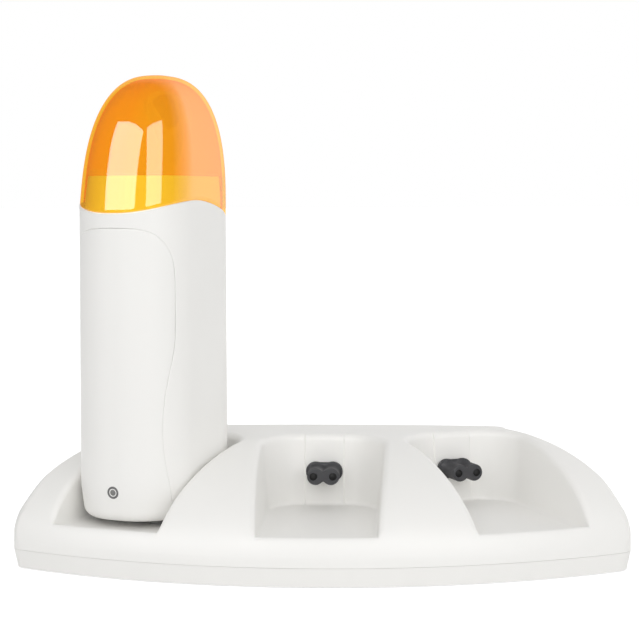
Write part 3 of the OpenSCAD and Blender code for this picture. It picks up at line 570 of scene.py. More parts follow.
def base_outline(plan, grid):
    """The shell's outline point for each boundary point of the inner grid, in order round it.

    Each corner of the grid is repeated and its outline points go round the upright corner.
    Returns boundary places, outline places and how much each point belongs to the front.
    """
    base = plan.base
    radius = base.corner_radius
    front_c, back_c, front_turn = base_corners(plan)
    out = base.side_angle
    rows = grid.shape[1]

    def side_feet(end, sign):
        """Places on a side wall for the boundary's rows, the last at the front arc's start."""
        away = plan.radius_of(grid[..., end])
        along = np.sqrt(away ** 2 - plan.inset_at(away) ** 2)
        limit = math.sqrt((plan.outer - radius) ** 2 - radius ** 2)
        start = limit - 20 * MM
        part = (limit - start) / (along[-1] - start)
        along = np.where(along > start, start + (along - start) * part, along)
        return plan.polar(along, sign * out)

    def corner(row, column, centre, start, end, sign, front):
        """One corner of the grid, repeated, and the arc round it."""
        turn = np.linspace(start, end, CORNER_STEPS)
        arc = np.stack([sign * (centre[0] + radius * np.cos(turn)), centre[1] + radius * np.sin(turn)])
        return np.repeat(grid[:, row, column, None], CORNER_STEPS, axis=1), arc, front

    front_row, back_row = grid[:, -1, 1:-1], grid[:, 0, -2:0:-1]
    turn = np.arctan2(front_row[0], plan.axis_y - front_row[1])
    known, target = [-out], [-front_turn]
    for side in (LEFT, MIDDLE, RIGHT):
        across, _ = plan.from_bay(side, *front_row)
        inside = np.abs(across) < plan.bay.half_width + 2.5 * MM
        known.extend(turn[inside])
        target.extend(side * base.bay_angle + np.arcsin(across[inside] / plan.outer))
    known.append(out)
    target.append(front_turn)
    aim = np.interp(turn, known, np.clip(target, -front_turn, front_turn))
    back_y = plan.axis_y - base.bay_radius + base.back_reach
    back_x = back_row[0] * back_c[0] / grid[0, 0, -1]
    ramp, flat = np.linspace(0, 1, CORNER_STEPS), np.zeros(CORNER_STEPS)
    parts = [
        (grid[..., 0], side_feet(0, LEFT), np.zeros(rows)),
        corner(-1, 0, front_c, out, front_turn - math.pi / 2, LEFT, ramp),
        (front_row, plan.polar(plan.outer, aim), np.ones(len(aim))),
        corner(-1, -1, front_c, front_turn - math.pi / 2, out, RIGHT, ramp[::-1]),
        (grid[:, ::-1, -1], side_feet(-1, RIGHT)[:, ::-1], np.zeros(rows)),
        corner(0, -1, back_c, out, math.pi / 2, RIGHT, flat),
        (back_row, np.stack([back_x, np.full_like(back_x, back_y)]), np.zeros(len(back_x))),
        corner(0, 0, back_c, math.pi / 2, out, LEFT, flat),
    ]
    return [np.concatenate([part[k] for part in parts], axis=-1) for k in range(3)]


def base_ring_points(plan, grid):
    """The band from the inner grid's edge to the shell's bottom edge, its lines as columns.

    Each line runs straight out in plan; its height is the shell's, taken down round the outer
    edge by a bank whose brow is the edge's rounding, and then down the upright wall.
    """
    base = plan.base
    inner, outer, front = base_outline(plan, grid)
    step = outer - inner
    width = np.hypot(*step)
    radius = plan.radius_of(outer)
    rise = plan.top(radius - base.bay_radius) - base.bottom
    softer = 1 + base.front_soft * plan.near_front(radius)
    brow = base.edge_radius * softer * (1 - smoothstep((front - 0.25) / 0.65)) + FRONT_EDGE
    steps = (2, 8, 12)
    stops = bank_stops(np.maximum(rise, 2 * MM), NO_FOOT, brow[:, None], WALL_LEAN, steps)[:, ::-1]
    share = np.minimum(stops / width[:, None], 0.995)
    span = np.concatenate([
        spread(0, 1, 14) * (1 - share[:, :1]), 1 - share[:, :-1], np.ones((len(width), 1))
    ], axis=1)
    x, y = inner[..., None] + step[..., None] * span
    flat = plan.height(x, y)
    local_rise = np.maximum(flat - base.bottom, 1e-6)
    local_brow = np.minimum(brow[:, None], 0.9 * local_rise)
    away = (1 - span) * width[:, None]
    z = np.minimum(flat, base.bottom + bank(away, local_rise, NO_FOOT, local_brow, WALL_LEAN))
    z[:, -1] = base.bottom
    return np.stack([x, y, z], axis=-1).transpose(1, 0, 2)


def make_base_shell(material):
    """The base's shell: its inner grid and the closed band round it, welded, given a wall."""
    plan = base_plan()
    grid = base_shell_points(plan)
    inner = np.stack([*grid, plan.height(*grid)], axis=-1)
    ring = base_ring_points(plan, grid)
    points = np.concatenate([inner.reshape(-1, 3), ring.reshape(-1, 3)])
    faces = np.concatenate([
        grid_faces(*inner.shape[:2]),
        grid.shape[1] * grid.shape[2] + grid_faces(*ring.shape[:2], closed=True),
    ])[:, ::-1]
    piece = make_piece("base_shell_skin", points, faces, material, weld=2e-6)
    thicken(piece, plan.base.wall, 0.3 * MM)
    return piece


def barrel_outline(width, height, waist, count):
    """Outline of two round barrels with a waist: sideways and up, as closed loop points.

    For a direction t it is the farther of the two circles and the bar between them, whose
    half height is half the height less the waist; the inner corners are rounded by a soft
    maximum over 0.5 mm.
    """
    t = spread(0, 2 * math.pi, count)
    c, s = np.abs(np.cos(t)), np.sin(t)
    radius, offset = height / 2, (width - height) / 2
    circle = offset * c + np.sqrt(np.maximum(radius ** 2 - (offset * s) ** 2, 0))
    bar = (height / 2 - waist) / np.maximum(np.abs(s), 1e-9)
    bar = np.where(bar * c <= offset, bar, 0)
    size = 0.5 * MM
    near = np.clip(1 - np.abs(circle - bar) / size, 0, 1)
    reach = np.maximum(circle, bar) + near ** 2 * size / 4
    return reach * np.cos(t), reach * s


def make_nose(side, material):
    """One plug nose: barrels with a round front edge and a collar behind them.

    Its loops go from the face's middle out to its edge, round the edge, back to the collar,
    over the collar and into the wall. Each is an outline, its scale and its depth.
    """
    plan = base_plan()
    nose, pad = settings().nose, plan.bay.pad_reach
    count = 96
    face = np.stack(barrel_outline(nose.width, nose.height, nose.waist, count))
    stretch = np.array([[nose.collar_width / nose.width], [nose.collar_height / nose.height]])
    collar = np.stack(barrel_outline(nose.width, nose.height, 0.25 * MM, count)) * stretch
    turns = np.linspace(0, math.pi / 2, 6)

    def rounded(outline, radius, depth):
        """Loops round an edge of the given radius."""
        small = radius / (nose.height / 2)
        return [(outline, 1 - small * (1 - math.sin(t)), depth + radius * (1 - math.cos(t)))
                for t in turns]

    loops = [(face, scale, 0) for scale in (0.0, 0.3, 0.6, 0.85)]
    loops += rounded(face, 0.45 * MM, 0) + [(face, 1, pad - nose.collar)]
    loops += rounded(collar, 0.3 * MM, pad - nose.collar)
    loops += [(collar, scale, pad + 0.4 * MM) for scale in (1, 0.3, 0)]
    across, up = np.stack([outline * scale for outline, scale, _ in loops], axis=1)
    depth = np.array([[depth] for *_, depth in loops])
    points = np.stack([*plan.in_bay(side, across, -depth), nose.height_up + up], axis=-1)
    name = f"plug_nose_{SIDE_NAMES[side]}_skin"
    return make_piece(name, points, grid_faces(*points.shape[:2], closed=True), material)


def make_holes(side, material, rim_material):
    """Painted shade for a nose's two contact holes: each is a flat black disc on the face in place of the
    hole's dark inside, with a fine raised rim.
    """
    plan = base_plan()
    nose = settings().nose
    inner, root, bead = nose.hole / MM, -0.3, 0.17
    outer, disc, face = inner + 0.35, inner + 0.05, 0.03
    rim = np.concatenate([
        [[outer, root]], arc_points(outer - bead, 0, bead, 0, 180, 9), [[inner, root], [outer, root]],
    ])
    # Painted shade: a flat disc just proud of the face, coloured black, stands in for the shade inside the
    # hole.
    mouth = [[0, root], [disc, root], [disc, face], [0, face]]
    turn = side * plan.base.bay_angle
    right, up = np.array([math.cos(turn), math.sin(turn), 0.0]), np.array([0.0, 0.0, 1.0])
    pieces = []
    for index, sign in enumerate((LEFT, RIGHT)):
        centre = np.array([*plan.in_bay(side, sign * nose.pitch / 2, 0), nose.height_up])
        spot = (centre, right, up, np.cross(right, up))
        ending = f"{SIDE_NAMES[side]}_{index}"
        pieces.append(make_revolved(f"nose_rim_{ending}", spot, rim, rim_material, 48))
        pieces.append(make_revolved(f"nose_hole_painted_shade_{ending}", spot, mouth, material, 48))
    return pieces


# ------------------------------------------------------------------ the warmer and its cap

# Distances from the seam at which the mouldings on both its sides have columns of points
SEAM_STEPS = np.array([0, 0.1, 0.25, 0.45, 0.7, 1.0]) * MM
# Radius of the warmer's round bottom edge, and height and depth of the draft above it
FOOT_ROUND, DRAFT_HEIGHT, DRAFT = 4.2 * MM, 16 * MM, 1.5 * MM
# Distance from the warmer's middle back to the line that divides the underside
UNDERSIDE_BACK = 6 * MM
# Height of the panel's densest rows above the underside, and half the height of its waist's bell
PANEL_FOOT, WAIST_SPAN = 5 * MM, 40 * MM
# How much higher the row of the panel's top stands at the back, and how fast rows settle there
CROWN_RISE, SETTLING = 3.2 * MM, 4 * MM
# Where the rear begins, before the warmer's middle, and the length over which it takes over
REAR_START, REAR_SPAN = 12 * MM, 30 * MM


class WarmerPlan:
    """The outline of the warmer, in the left bay's frame and in the scene's."""

    def __init__(self, warmer, cap, plan):
        self.size = warmer
        self.cap = cap
        self.plan = plan
        self.middle = warmer.back_gap - warmer.depth / 2
        self.flat_x = warmer.width / 2 - warmer.corner_radius
        self.flat_y = warmer.depth / 2 - warmer.corner_radius
        self.arc = warmer.corner_radius * math.pi / 2
        self.half_round = 2 * self.flat_x + 2 * self.arc + 2 * self.flat_y

    def outline(self, along, inset):
        """x and y (from the middle) at a distance along the outline from its front, to the right.

        A half outline is a flat, a quarter circle, a flat, a quarter circle and a flat; the
        left half mirrors it. An inset draws the flats in and shrinks the quarter circles.
        """
        corner = self.size.corner_radius
        radius = corner - inset
        far = np.abs(along)
        back_start = self.flat_x + self.arc + 2 * self.flat_y
        first = np.clip(far, 0, self.flat_x)
        turn = np.clip((far - self.flat_x) / corner, 0, math.pi / 2)
        side = np.clip(far - self.flat_x - self.arc, 0, 2 * self.flat_y)
        turn_back = np.clip((far - back_start) / corner, 0, math.pi / 2)
        last = np.clip(far - back_start - self.arc, 0, self.flat_x)
        x = first + radius * np.sin(turn) + radius * (np.cos(turn_back) - 1) - last
        y = -self.flat_y - radius * np.cos(turn) + side + radius * np.sin(turn_back)
        return x * np.sign(along), y

    def place(self, x, y, z):
        """The scene's points of x and y (from the warmer's middle) at height z, leaning forward."""
        seat = self.size.seat_height
        share = (seat - z) / (seat - self.size.bottom) - 0.5
        toward_front = smoothstep(-y / self.flat_y)
        y = y - self.size.forward * np.clip(share, -0.5, 0.5) * toward_front
        wx, wy = self.plan.in_bay(LEFT, x, -(y + self.middle))
        return np.stack(np.broadcast_arrays(wx, wy, z), axis=-1)

    def seat(self, y):
        """Height of the cap's seat where the outline passes y: an arc of a circle, seen from the side."""
        size = self.size
        low = size.seat_height - size.seat_radius
        return low + np.sqrt(size.seat_radius ** 2 - (y + self.middle + size.seat_reach) ** 2)

    def edge_at(self, half):
        """Distance along the outline of the front point that lies half away from the middle plane."""
        radius = self.size.corner_radius
        over = np.clip((half - self.flat_x) / radius, 0, 0.9999)
        return np.where(half < self.flat_x, half, self.flat_x + radius * np.arcsin(over))

    def body_inset(self, z):
        """How far the body draws in near its underside: a slight draft, then a round edge."""
        above = z - self.size.bottom
        draft = DRAFT * (1 - smoothstep(above / DRAFT_HEIGHT))
        down = 1 - np.clip(above, 0, FOOT_ROUND) / FOOT_ROUND
        return draft + FOOT_ROUND * (1 - np.sqrt(np.clip(1 - down ** 2, 0, 1)))


def warmer_plan():
    """The warmer's plan for the present settings."""
    config = settings()
    return WarmerPlan(config.warmer, config.cap, base_plan())


def panel_path(warmer):
    """Half widths and heights of the front panel's edge, from the underside up to its top middle.

    The sides draw in to a waist by a smooth bell, and the top is a superellipse.
    Also the heights that the same rows reach at the warmer's back, and which rows are the top's.
    """
    top, crown, power = warmer.panel_top, warmer.panel_crown, warmer.panel_power
    foot = warmer.bottom + PANEL_FOOT * spread(0, 1, 10) ** 1.6
    rise = np.concatenate([foot, np.linspace(warmer.bottom + PANEL_FOOT, top - crown, 40)])
    near = (rise - warmer.waist_height) / WAIST_SPAN
    bell = np.clip(1 - near ** 2, 0, 1) ** 2
    side = warmer.panel_half - (warmer.panel_half - warmer.panel_waist) * bell
    turn = np.linspace(0, math.pi / 2, 41)[1:]
    size = (np.cos(turn) ** power + np.sin(turn) ** power) ** (-1 / power)
    half = np.concatenate([side, warmer.panel_half * np.cos(turn) * size])
    high = np.concatenate([rise, top - crown + crown * np.sin(turn) * size])
    half[-1] = 0
    behind = high + CROWN_RISE * np.concatenate([0 * rise, (turn / (math.pi / 2)) ** 2])
    on_top = np.concatenate([0 * rise, smoothstep(turn / (math.pi / 4))])
    return half, high, behind, on_top


def seam_rounding(warmer, along, z, seam_along, seam_z):
    """How far a face sinks beside the seam: r - sqrt(r^2 - (r - d)^2) at distance d, up to r."""
    radius = warmer.seam_soft
    line = np.stack([seam_along, seam_z], axis=-1)
    both = np.concatenate([line * [-1, 1], line[::-1]])
    dense = np.stack([np.interp(np.linspace(0, len(both) - 1, 900), np.arange(len(both)), both[:, k])
                      for k in (0, 1)], axis=-1)
    spots = np.stack(np.broadcast_arrays(along, z), axis=-1).reshape(-1, 2)
    nearest = np.full(len(spots), np.inf)
    for chunk in np.array_split(dense, 9):
        gaps = np.hypot(*np.moveaxis(spots[:, None] - chunk[None], -1, 0))
        nearest = np.minimum(nearest, gaps.min(axis=1))
    left = np.clip(radius - nearest, 0, radius)
    return (radius - np.sqrt(radius ** 2 - left ** 2)).reshape(np.shape(z))


def make_front_panel(material):
    """The front panel: rows up the warmer, columns across it, and its part of the underside."""
    plan = warmer_plan()
    size = plan.size
    half, high, _, on_top = panel_path(size)
    gap = size.seam / 2
    edge = plan.edge_at(np.maximum(half - gap, 0))[:, None]
    border = edge - np.minimum(SEAM_STEPS, edge * SEAM_STEPS / (3 * MM))
    across = border[:, -1:] * np.linspace(-1, 1, 61)[1:-1]
    along = np.concatenate([-border, across, border[:, ::-1]], axis=1)
    z = np.broadcast_to((high - gap * on_top)[:, None], along.shape)
    rounding = seam_rounding(size, along, z, plan.edge_at(half), high)
    x, y = plan.outline(along, plan.body_inset(z) + rounding)
    under = spread(1, 0, 6)[:, None]
    low_y = UNDERSIDE_BACK + (y[:1] - UNDERSIDE_BACK) * (1 - under)
    low = plan.place(x[:1] + 0 * under, low_y, np.full_like(under, size.bottom))
    points = np.concatenate([low, plan.place(x, y, z)])
    piece = make_piece("front_panel_skin", points, grid_faces(*points.shape[:2]), material)
    thicken(piece, size.wall * 0.8)
    return piece


def make_warmer_shell(material):
    """The warmer's rear moulding: it runs round the back from one edge of the panel to the other.

    Its rows start on the panel's edge and settle to their own heights behind it, as
    distance / (distance + settling). Above the panel they go up to the cap's seat, whose arch
    is spread down the rows. The underside closes the bottom.
    """
    plan = warmer_plan()
    size = plan.size
    half, high, behind, on_top = panel_path(size)
    gap = size.seam / 2
    half = np.where(half > 0, half + gap, 0)
    high = high + gap * on_top
    seam_along, seam_z = plan.edge_at(half), high
    front_seat = plan.seat(np.array(-size.depth / 2))
    above = np.linspace(0, 1, 9)[1:]
    half = np.concatenate([half, 0 * above])
    high, behind = (np.concatenate([rows, rows[-1] + (front_seat - rows[-1]) * above])
                    for rows in (high, behind))
    start = plan.edge_at(half)[:, None]
    near = np.concatenate([SEAM_STEPS, [1.4 * MM, 2 * MM]])
    total = 2 * plan.half_round - 2 * start
    middle = near[-1] + (total - 2 * near[-1]) * np.linspace(0, 1, 221)[1:-1]
    along = start + np.concatenate([near + 0 * start, middle, total - near[::-1]], axis=1)
    far = np.minimum(along - start, 2 * plan.half_round - start - along)
    along = np.where(along > plan.half_round, along - 2 * plan.half_round, along)
    _, y0 = plan.outline(along, 0)
    z = high[:, None] + (behind - high)[:, None] * far / (far + SETTLING)
    seat = plan.seat(y0)
    rear = smoothstep((y0 + REAR_START) / REAR_SPAN)
    first = size.panel_top + gap
    lifted = z + (seat - front_seat) * np.clip((z - first) / (front_seat - first), 0, 1)
    scaled = z * (1 + (seat / front_seat - 1) * (z / front_seat) ** 8)
    z = lifted * (1 - rear) + scaled * rear
    rounding = seam_rounding(size, along, z, seam_along, seam_z)
    x, y = plan.outline(along, plan.body_inset(z) + rounding)
    under = spread(0, 1, 6)[:, None]
    inner_x = np.clip(x[0], -x[0, 0], x[0, 0])
    inner_y = np.minimum(y[0], UNDERSIDE_BACK + 0.2 * MM)
    bottom = plan.place(inner_x + (x[0] - inner_x) * under, inner_y + (y[0] - inner_y) * under,
                        np.full_like(under, size.bottom))
    points = np.concatenate([bottom, plan.place(x, y, z)])
    piece = make_piece("warmer_shell_skin", points, grid_faces(*points.shape[:2]), material)
    thicken(piece, size.wall)
    return piece


def lamp_frame(plan, z):
    """Centre, right, up and outward directions of the front panel's face at height z."""
    def face(x, height):
        height = np.array(height)
        px, py = plan.outline(np.array(x), plan.body_inset(height))
        return plan.place(px, py, height)

    step = 0.5 * MM
    centre = face(0.0, z)
    right = face(step, z) - face(-step, z)
    up = face(0.0, z + step) - face(0.0, z - step)
    right, up = right / np.linalg.norm(right), up / np.linalg.norm(up)
    return centre, right, up, np.cross(right, up)


def make_revolved(name, spot, profile, material, columns=64):
    """A closed ring or disc: a closed profile of radius and height turned about a face's normal."""
    centre, right, up, out = spot
    turn = spread(0, 2 * math.pi, columns)
    profile = np.asarray(profile) * MM
    ring = np.cos(turn)[:, None] * right + np.sin(turn)[:, None] * up
    points = centre + profile[:, None, :1] * ring[None] + profile[:, None, 1:] * out
    return make_piece(name, points, grid_faces(len(profile), columns, closed=True), material)


def arc_points(centre_r, centre_h, radius, start, end, count):
    """Points of a profile's arc, from start to end degrees."""
    turn = np.radians(np.linspace(start, end, count))
    return np.stack([centre_r + radius * np.cos(turn), centre_h + radius * np.sin(turn)], axis=-1)


def make_lamp(dark, clear):
    """The indicator: a dark ring a little proud of the panel and a domed lens inside it."""
    plan = warmer_plan()
    spot = lamp_frame(plan, plan.size.lamp_height)
    outer, inner = plan.size.lamp_ring / MM, plan.size.lamp_lens / MM
    root, proud, edge = -1.2, 0.25, 0.3
    ring = np.concatenate([
        [[outer, root]], arc_points(outer - edge, proud - edge, edge, 0, 90, 7),
        arc_points(inner + edge, proud - edge, edge, 90, 180, 7), [[inner, root], [outer, root]],
    ])
    lens_r, sphere, sunk = inner - 0.03, 3.4, 0.2
    reach = math.degrees(math.asin(lens_r / sphere))
    middle = -sunk - sphere * math.cos(math.radians(reach))
    lens = np.concatenate([
        [[0, root], [lens_r, root]], arc_points(0, middle, sphere, 90 - reach, 90, 12),
    ])
    return (make_revolved("lamp_ring_skin", spot, ring, dark),
            make_revolved("lamp_lens_skin", spot, lens, clear))


def dome_points(plan, inset, along, share, lift):
    """Points of the cap's face, inset from its outside, from its edge (share 0) to its top (share 1).

    Above the start of the dome the outline shrinks as the root of 1 - v^power with a slight
    straight taper, and leans back in step with v, the share of the dome's height. The edge is
    lifted off the cap's lowest line, to leave room for the round rim.
    """
    cap = plan.cap
    x, y = plan.outline(along, inset)
    edge = plan.seat(y) + cap.gap + lift
    z = edge + (cap.top - inset - edge) * share
    v = np.clip((z - cap.dome_start) / (cap.top - cap.dome_start - inset), 0, 1)
    size = (1 - cap.taper * v) * np.clip(1 - v ** cap.power, 0, 1) ** (1 / cap.power)
    return plan.place(x * size, y * size + cap.lean * v, z)


def make_cap(material):
    """The cap: its outer face up to the top, its inner face back down, and a round rim between them."""
    plan = warmer_plan()
    columns = 160
    along = spread(-plan.half_round, plan.half_round, columns)[None, :]
    share = np.sin(np.linspace(0, math.pi / 2, 64))[:, None]
    wall = plan.cap.wall
    outer = dome_points(plan, 0.0, along, share, wall / 2)
    inner = dome_points(plan, wall, along, share, wall / 2)
    turns = np.linspace(0, math.pi, 9)[1:-1]
    rim = [dome_points(plan, wall / 2 * (1 - math.cos(t)), along, share[:1], wall / 2 * (1 - math.sin(t)))
           for t in turns]
    points = np.concatenate([outer[::-1], *rim, inner])
    faces = grid_faces(points.shape[0], columns, closed=True)[:, ::-1]
    return make_piece("cap_dome", points, faces, material)


# ------------------------------------------------------------------ finishes

WHITE = (1, 1, 1, 1)
# Scales of the noises in a plastic's colour and gloss, and depths in metres of grain and streaks
FLOW_SCALE, GLOSS_SCALE = 22, 60
GRAIN_DEPTH, STREAK_DEPTH = 0.00003, 0.00002


def feed(tree, node, inputs):
    """Gives each of a node's inputs a value, or links it to the socket given."""
    for key, value in inputs.items():
        if isinstance(value, bpy.types.NodeSocket):
            tree.links.new(value, node.inputs[key])
        else:
            node.inputs[key].default_value = value


def add_node(tree, kind, inputs=None, **fields):
    """A shader node with its fields set and its inputs fed; returns its outputs."""
    node = tree.nodes.new("ShaderNode" + kind)
    for name, value in fields.items():
        setattr(node, name, value)
    feed(tree, node, inputs or {})
    return node.outputs


def calculate(tree, operation, *values):
    """The result of a math node on numbers or sockets."""
    return add_node(tree, "Math", dict(enumerate(values)), operation=operation)[0]


def mix_values(tree, share, first, second):
    """A number between two, by share."""
    return add_node(tree, "Mix", {0: share, 2: first, 3: second})[0]


def mix_colours(tree, share, first, second):
    """A colour between two, by share."""
    return add_node(tree, "Mix", {0: share, 6: first, 7: second}, data_type="RGBA")[2]


def mix_shaders(tree, share, first, second):
    """A shader between two, by share."""
    return add_node(tree, "MixShader", {"Fac": share, 1: first, 2: second})["Shader"]


def map_range(tree, value, start, end, low, high):
    """Maps start..end to low..high, and holds it there."""
    return add_node(tree, "MapRange", {
        "Value": value, "From Min": start, "From Max": end, "To Min": low, "To Max": high
    })["Result"]


def is_ray(tree, *kinds):
    """1 for rays of the given kinds, such as Is Camera Ray, and 0 for the others."""
    path = add_node(tree, "LightPath")
    seen = path[kinds[0]]
    for kind in kinds[1:]:
        seen = calculate(tree, "MAXIMUM", seen, path[kind])
    return seen


def new_material(name):
    """An empty node material, its tree, its principled shader and its output."""
    material = bpy.data.materials.new(name)
    material.use_nodes = True
    tree = material.node_tree
    tree.nodes.clear()
    output = tree.nodes.new("ShaderNodeOutputMaterial")
    shader = tree.nodes.new("ShaderNodeBsdfPrincipled")
    feed(tree, output, {"Surface": shader.outputs["BSDF"]})
    return material, tree, shader, output


def add_noise(tree, scale, detail=2.0, roughness=0.5, stretch=(1, 1, 1)):
    """The factor of a noise texture on Object coordinates."""
    where = add_node(tree, "TexCoord")["Object"]
    stretched = add_node(tree, "Mapping", {"Vector": where, "Scale": stretch})["Vector"]
    return add_node(tree, "TexNoise", {
        "Vector": stretched, "Scale": scale, "Detail": detail, "Roughness": roughness
    })["Fac"]


def vary_value(tree, factor, low, high):
    """A value that follows a noise, whose factor lies within 0.3..0.7, from low to high."""
    return map_range(tree, factor, 0.3, 0.7, low, high)


def vary_colour(tree, value, factor, amount):
    """A colour whose brightness varies slightly with a noise."""
    dark, light = ((*[min(1, c * (1 + sign * amount)) for c in value], 1) for sign in (-1, 1))
    return mix_colours(tree, factor, dark, light)


def add_bump(tree, factor, strength, distance):
    """The normal of a bump from a noise factor; distance is in metres."""
    inputs = {"Strength": strength, "Distance": distance, "Height": factor}
    return add_node(tree, "Bump", inputs)["Normal"]


def moulded_plastic(name, colour_value, roughness, grain=900, glow=0.0):
    """Injection-moulded plastic: a fine spark-eroded grain, and a faint flow in colour and gloss. A glow,
    when given, is painted light: an emission in the plastic's own colour.
    """
    material, tree, shader, _ = new_material(name)
    feed(tree, shader, {
        "Base Color": vary_colour(tree, colour_value, add_noise(tree, FLOW_SCALE, 3), 0.012),
        "Roughness": vary_value(tree, add_noise(tree, GLOSS_SCALE, 3), roughness * 0.9, roughness * 1.1),
        "Specular IOR Level": 0.38,
        "Normal": add_bump(tree, add_noise(tree, grain, 2, 0.6), 0.25, GRAIN_DEPTH),
    })
    # Painted light: an emission in the plastic's own colour, used to brighten the neck frame under the
    # cap.
    if glow:
        feed(tree, shader, {"Emission Color": (*colour_value, 1), "Emission Strength": glow})
    return material


def metal(name, colour_value, roughness, stretch=(1, 1, 1)):
    """Plain metal with fine drawn or brushed streaks in its roughness and bump."""
    material, tree, shader, _ = new_material(name)
    streaks = add_noise(tree, 400, 3, 0.6, stretch)
    feed(tree, shader, {
        "Base Color": vary_colour(tree, colour_value, add_noise(tree, 40, 2), 0.03),
        "Metallic": 1.0,
        "Roughness": vary_value(tree, streaks, roughness * 0.75, roughness * 1.3),
        "Normal": add_bump(tree, streaks, 0.2, STREAK_DEPTH),
    })
    return material


def amber_plastic(finishes):
    """Clear amber: it lets tinted light through, scatters a little of it and reflects like polish.

    Its tint is deeper where the wall is seen edge on. What is lit through it is lit in white, as
    it is by a studio's light from all round. The reflection follows Fresnel's law up to a limit.
    """
    material, tree, shader, output = new_material("amber_plastic")
    feed(tree, shader, {
        "Base Color": vary_colour(tree, finishes.amber, add_noise(tree, 18, 2), 0.015),
        "Roughness": 0.3,
        "Specular IOR Level": 0.2,
    })
    clear = tuple(finishes.amber_clear)
    deep = [value ** finishes.amber_deepening for value in clear]
    edge_on = add_node(tree, "LayerWeight", {"Blend": finishes.amber_edge})["Facing"]
    tint = mix_colours(tree, edge_on, (*clear, 1), (*deep, 1))
    tint = mix_colours(tree, is_ray(tree, "Is Shadow Ray", "Is Diffuse Ray"), tint, WHITE)
    through = add_node(tree, "BsdfTransparent", {"Color": tint})["BSDF"]
    body = mix_shaders(tree, finishes.amber_milk, through, shader.outputs["BSDF"])
    mirror = {"Color": WHITE, "Roughness": finishes.amber_polish}
    polish = add_node(tree, "BsdfGlossy", mirror)["BSDF"]
    inside = add_node(tree, "NewGeometry")["Backfacing"]
    index = mix_values(tree, inside, finishes.amber_index, 1 / finishes.amber_inner)
    share = add_node(tree, "Fresnel", {"IOR": index})["Fac"]
    share = calculate(tree, "MINIMUM", share, finishes.amber_mirror)
    feed(tree, output, {"Surface": mix_shaders(tree, share, body, polish)})
    return material


def finish_nodes(material, *nodes):
    """Gives CAD nodes a material in all their slots."""
    for name in nodes:
        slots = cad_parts[name].data.materials
        slots.clear()
        slots.append(material)


# ------------------------------------------------------------------ operators

# Colours of the hidden parts' finishes, as plain light values
BRASS, STEEL, ALUMINIUM = (0.72, 0.5, 0.22), (0.62, 0.62, 0.63), (0.75, 0.75, 0.76)
BROWN, BLUE, GREEN = (0.12, 0.05, 0.02), (0.02, 0.08, 0.4), (0.02, 0.12, 0.05)
# The first colour on the next line is painted shade, for the insides of the contact holes.
PAINTED_HOLE_SHADE, RUBBER, CERAMIC = (0.004, 0.004, 0.004), (0.03, 0.03, 0.03), (0.7, 0.67, 0.58)
PALE_RUBBER, LENS_GREY, RING_GREY = (0.3, 0.3, 0.295), (0.2, 0.2, 0.195), (0.15, 0.15, 0.15)


class HEATER_OT_base_shell(bpy.types.Operator):
    """Builds the base's shell with its three docking bays"""

    bl_idname = "heater.base_shell"
    bl_label = "Base shell"

    def execute(self, context):
        finishes = settings().finishes
        material = moulded_plastic("white_moulding", finishes.white, finishes.white_roughness)
        piece = make_base_shell(material)
        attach(piece, "base")
        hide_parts("base_shell")
        finish_nodes(material, "bottom_tray")
        return {"FINISHED"}


class HEATER_OT_base_parts(bpy.types.Operator):
    """Finishes the plug noses, contacts, wires, screws, feet and the mains inlet"""

    bl_idname = "heater.base_parts"
    bl_label = "Base parts"

    def execute(self, context):
        finishes = settings().finishes
        grey = moulded_plastic("dark_grey_moulding", finishes.grey, 0.5, grain=1200)
        finish_nodes(grey, "mains_inlet")
        # The holes' black is painted shade: flat discs stand in for the shade inside the contact holes.
        hollow = moulded_plastic("hole_painted_shade", PAINTED_HOLE_SHADE, 0.7)
        rim = moulded_plastic("nose_rim_grey", finishes.grey, 0.4, grain=1200)
        for side, name in SIDE_NAMES.items():
            nose = make_nose(side, grey)
            for piece in [nose, *make_holes(side, hollow, rim)]:
                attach(piece, "base")
            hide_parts(f"plug_nose_{name}")
        brass = metal("pressed_brass", BRASS, 0.3)
        finish_nodes(brass, "contacts_left", "contacts_middle", "contacts_right")
        finish_nodes(metal("plated_steel", STEEL, 0.28), "base_screws", "mains_pins")
        finish_nodes(moulded_plastic("brown_insulation", BROWN, 0.45), "base_wire_live")
        finish_nodes(moulded_plastic("blue_insulation", BLUE, 0.45), "base_wire_neutral")
        finish_nodes(moulded_plastic("foot_rubber", RUBBER, 0.8, grain=600), "base_feet")
        return {"FINISHED"}


class HEATER_OT_warmer_body(bpy.types.Operator):
    """Builds the warmer's rear moulding and its front panel"""

    bl_idname = "heater.warmer_body"
    bl_label = "Warmer body"

    def execute(self, context):
        finishes = settings().finishes
        material = moulded_plastic("white_warmer_moulding", finishes.white, finishes.white_roughness)
        pieces = make_warmer_shell(material), make_front_panel(material)
        for piece, node in zip(pieces, ("warmer_shell", "front_panel")):
            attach(piece, "warmer")
            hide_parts(node)
        return {"FINISHED"}


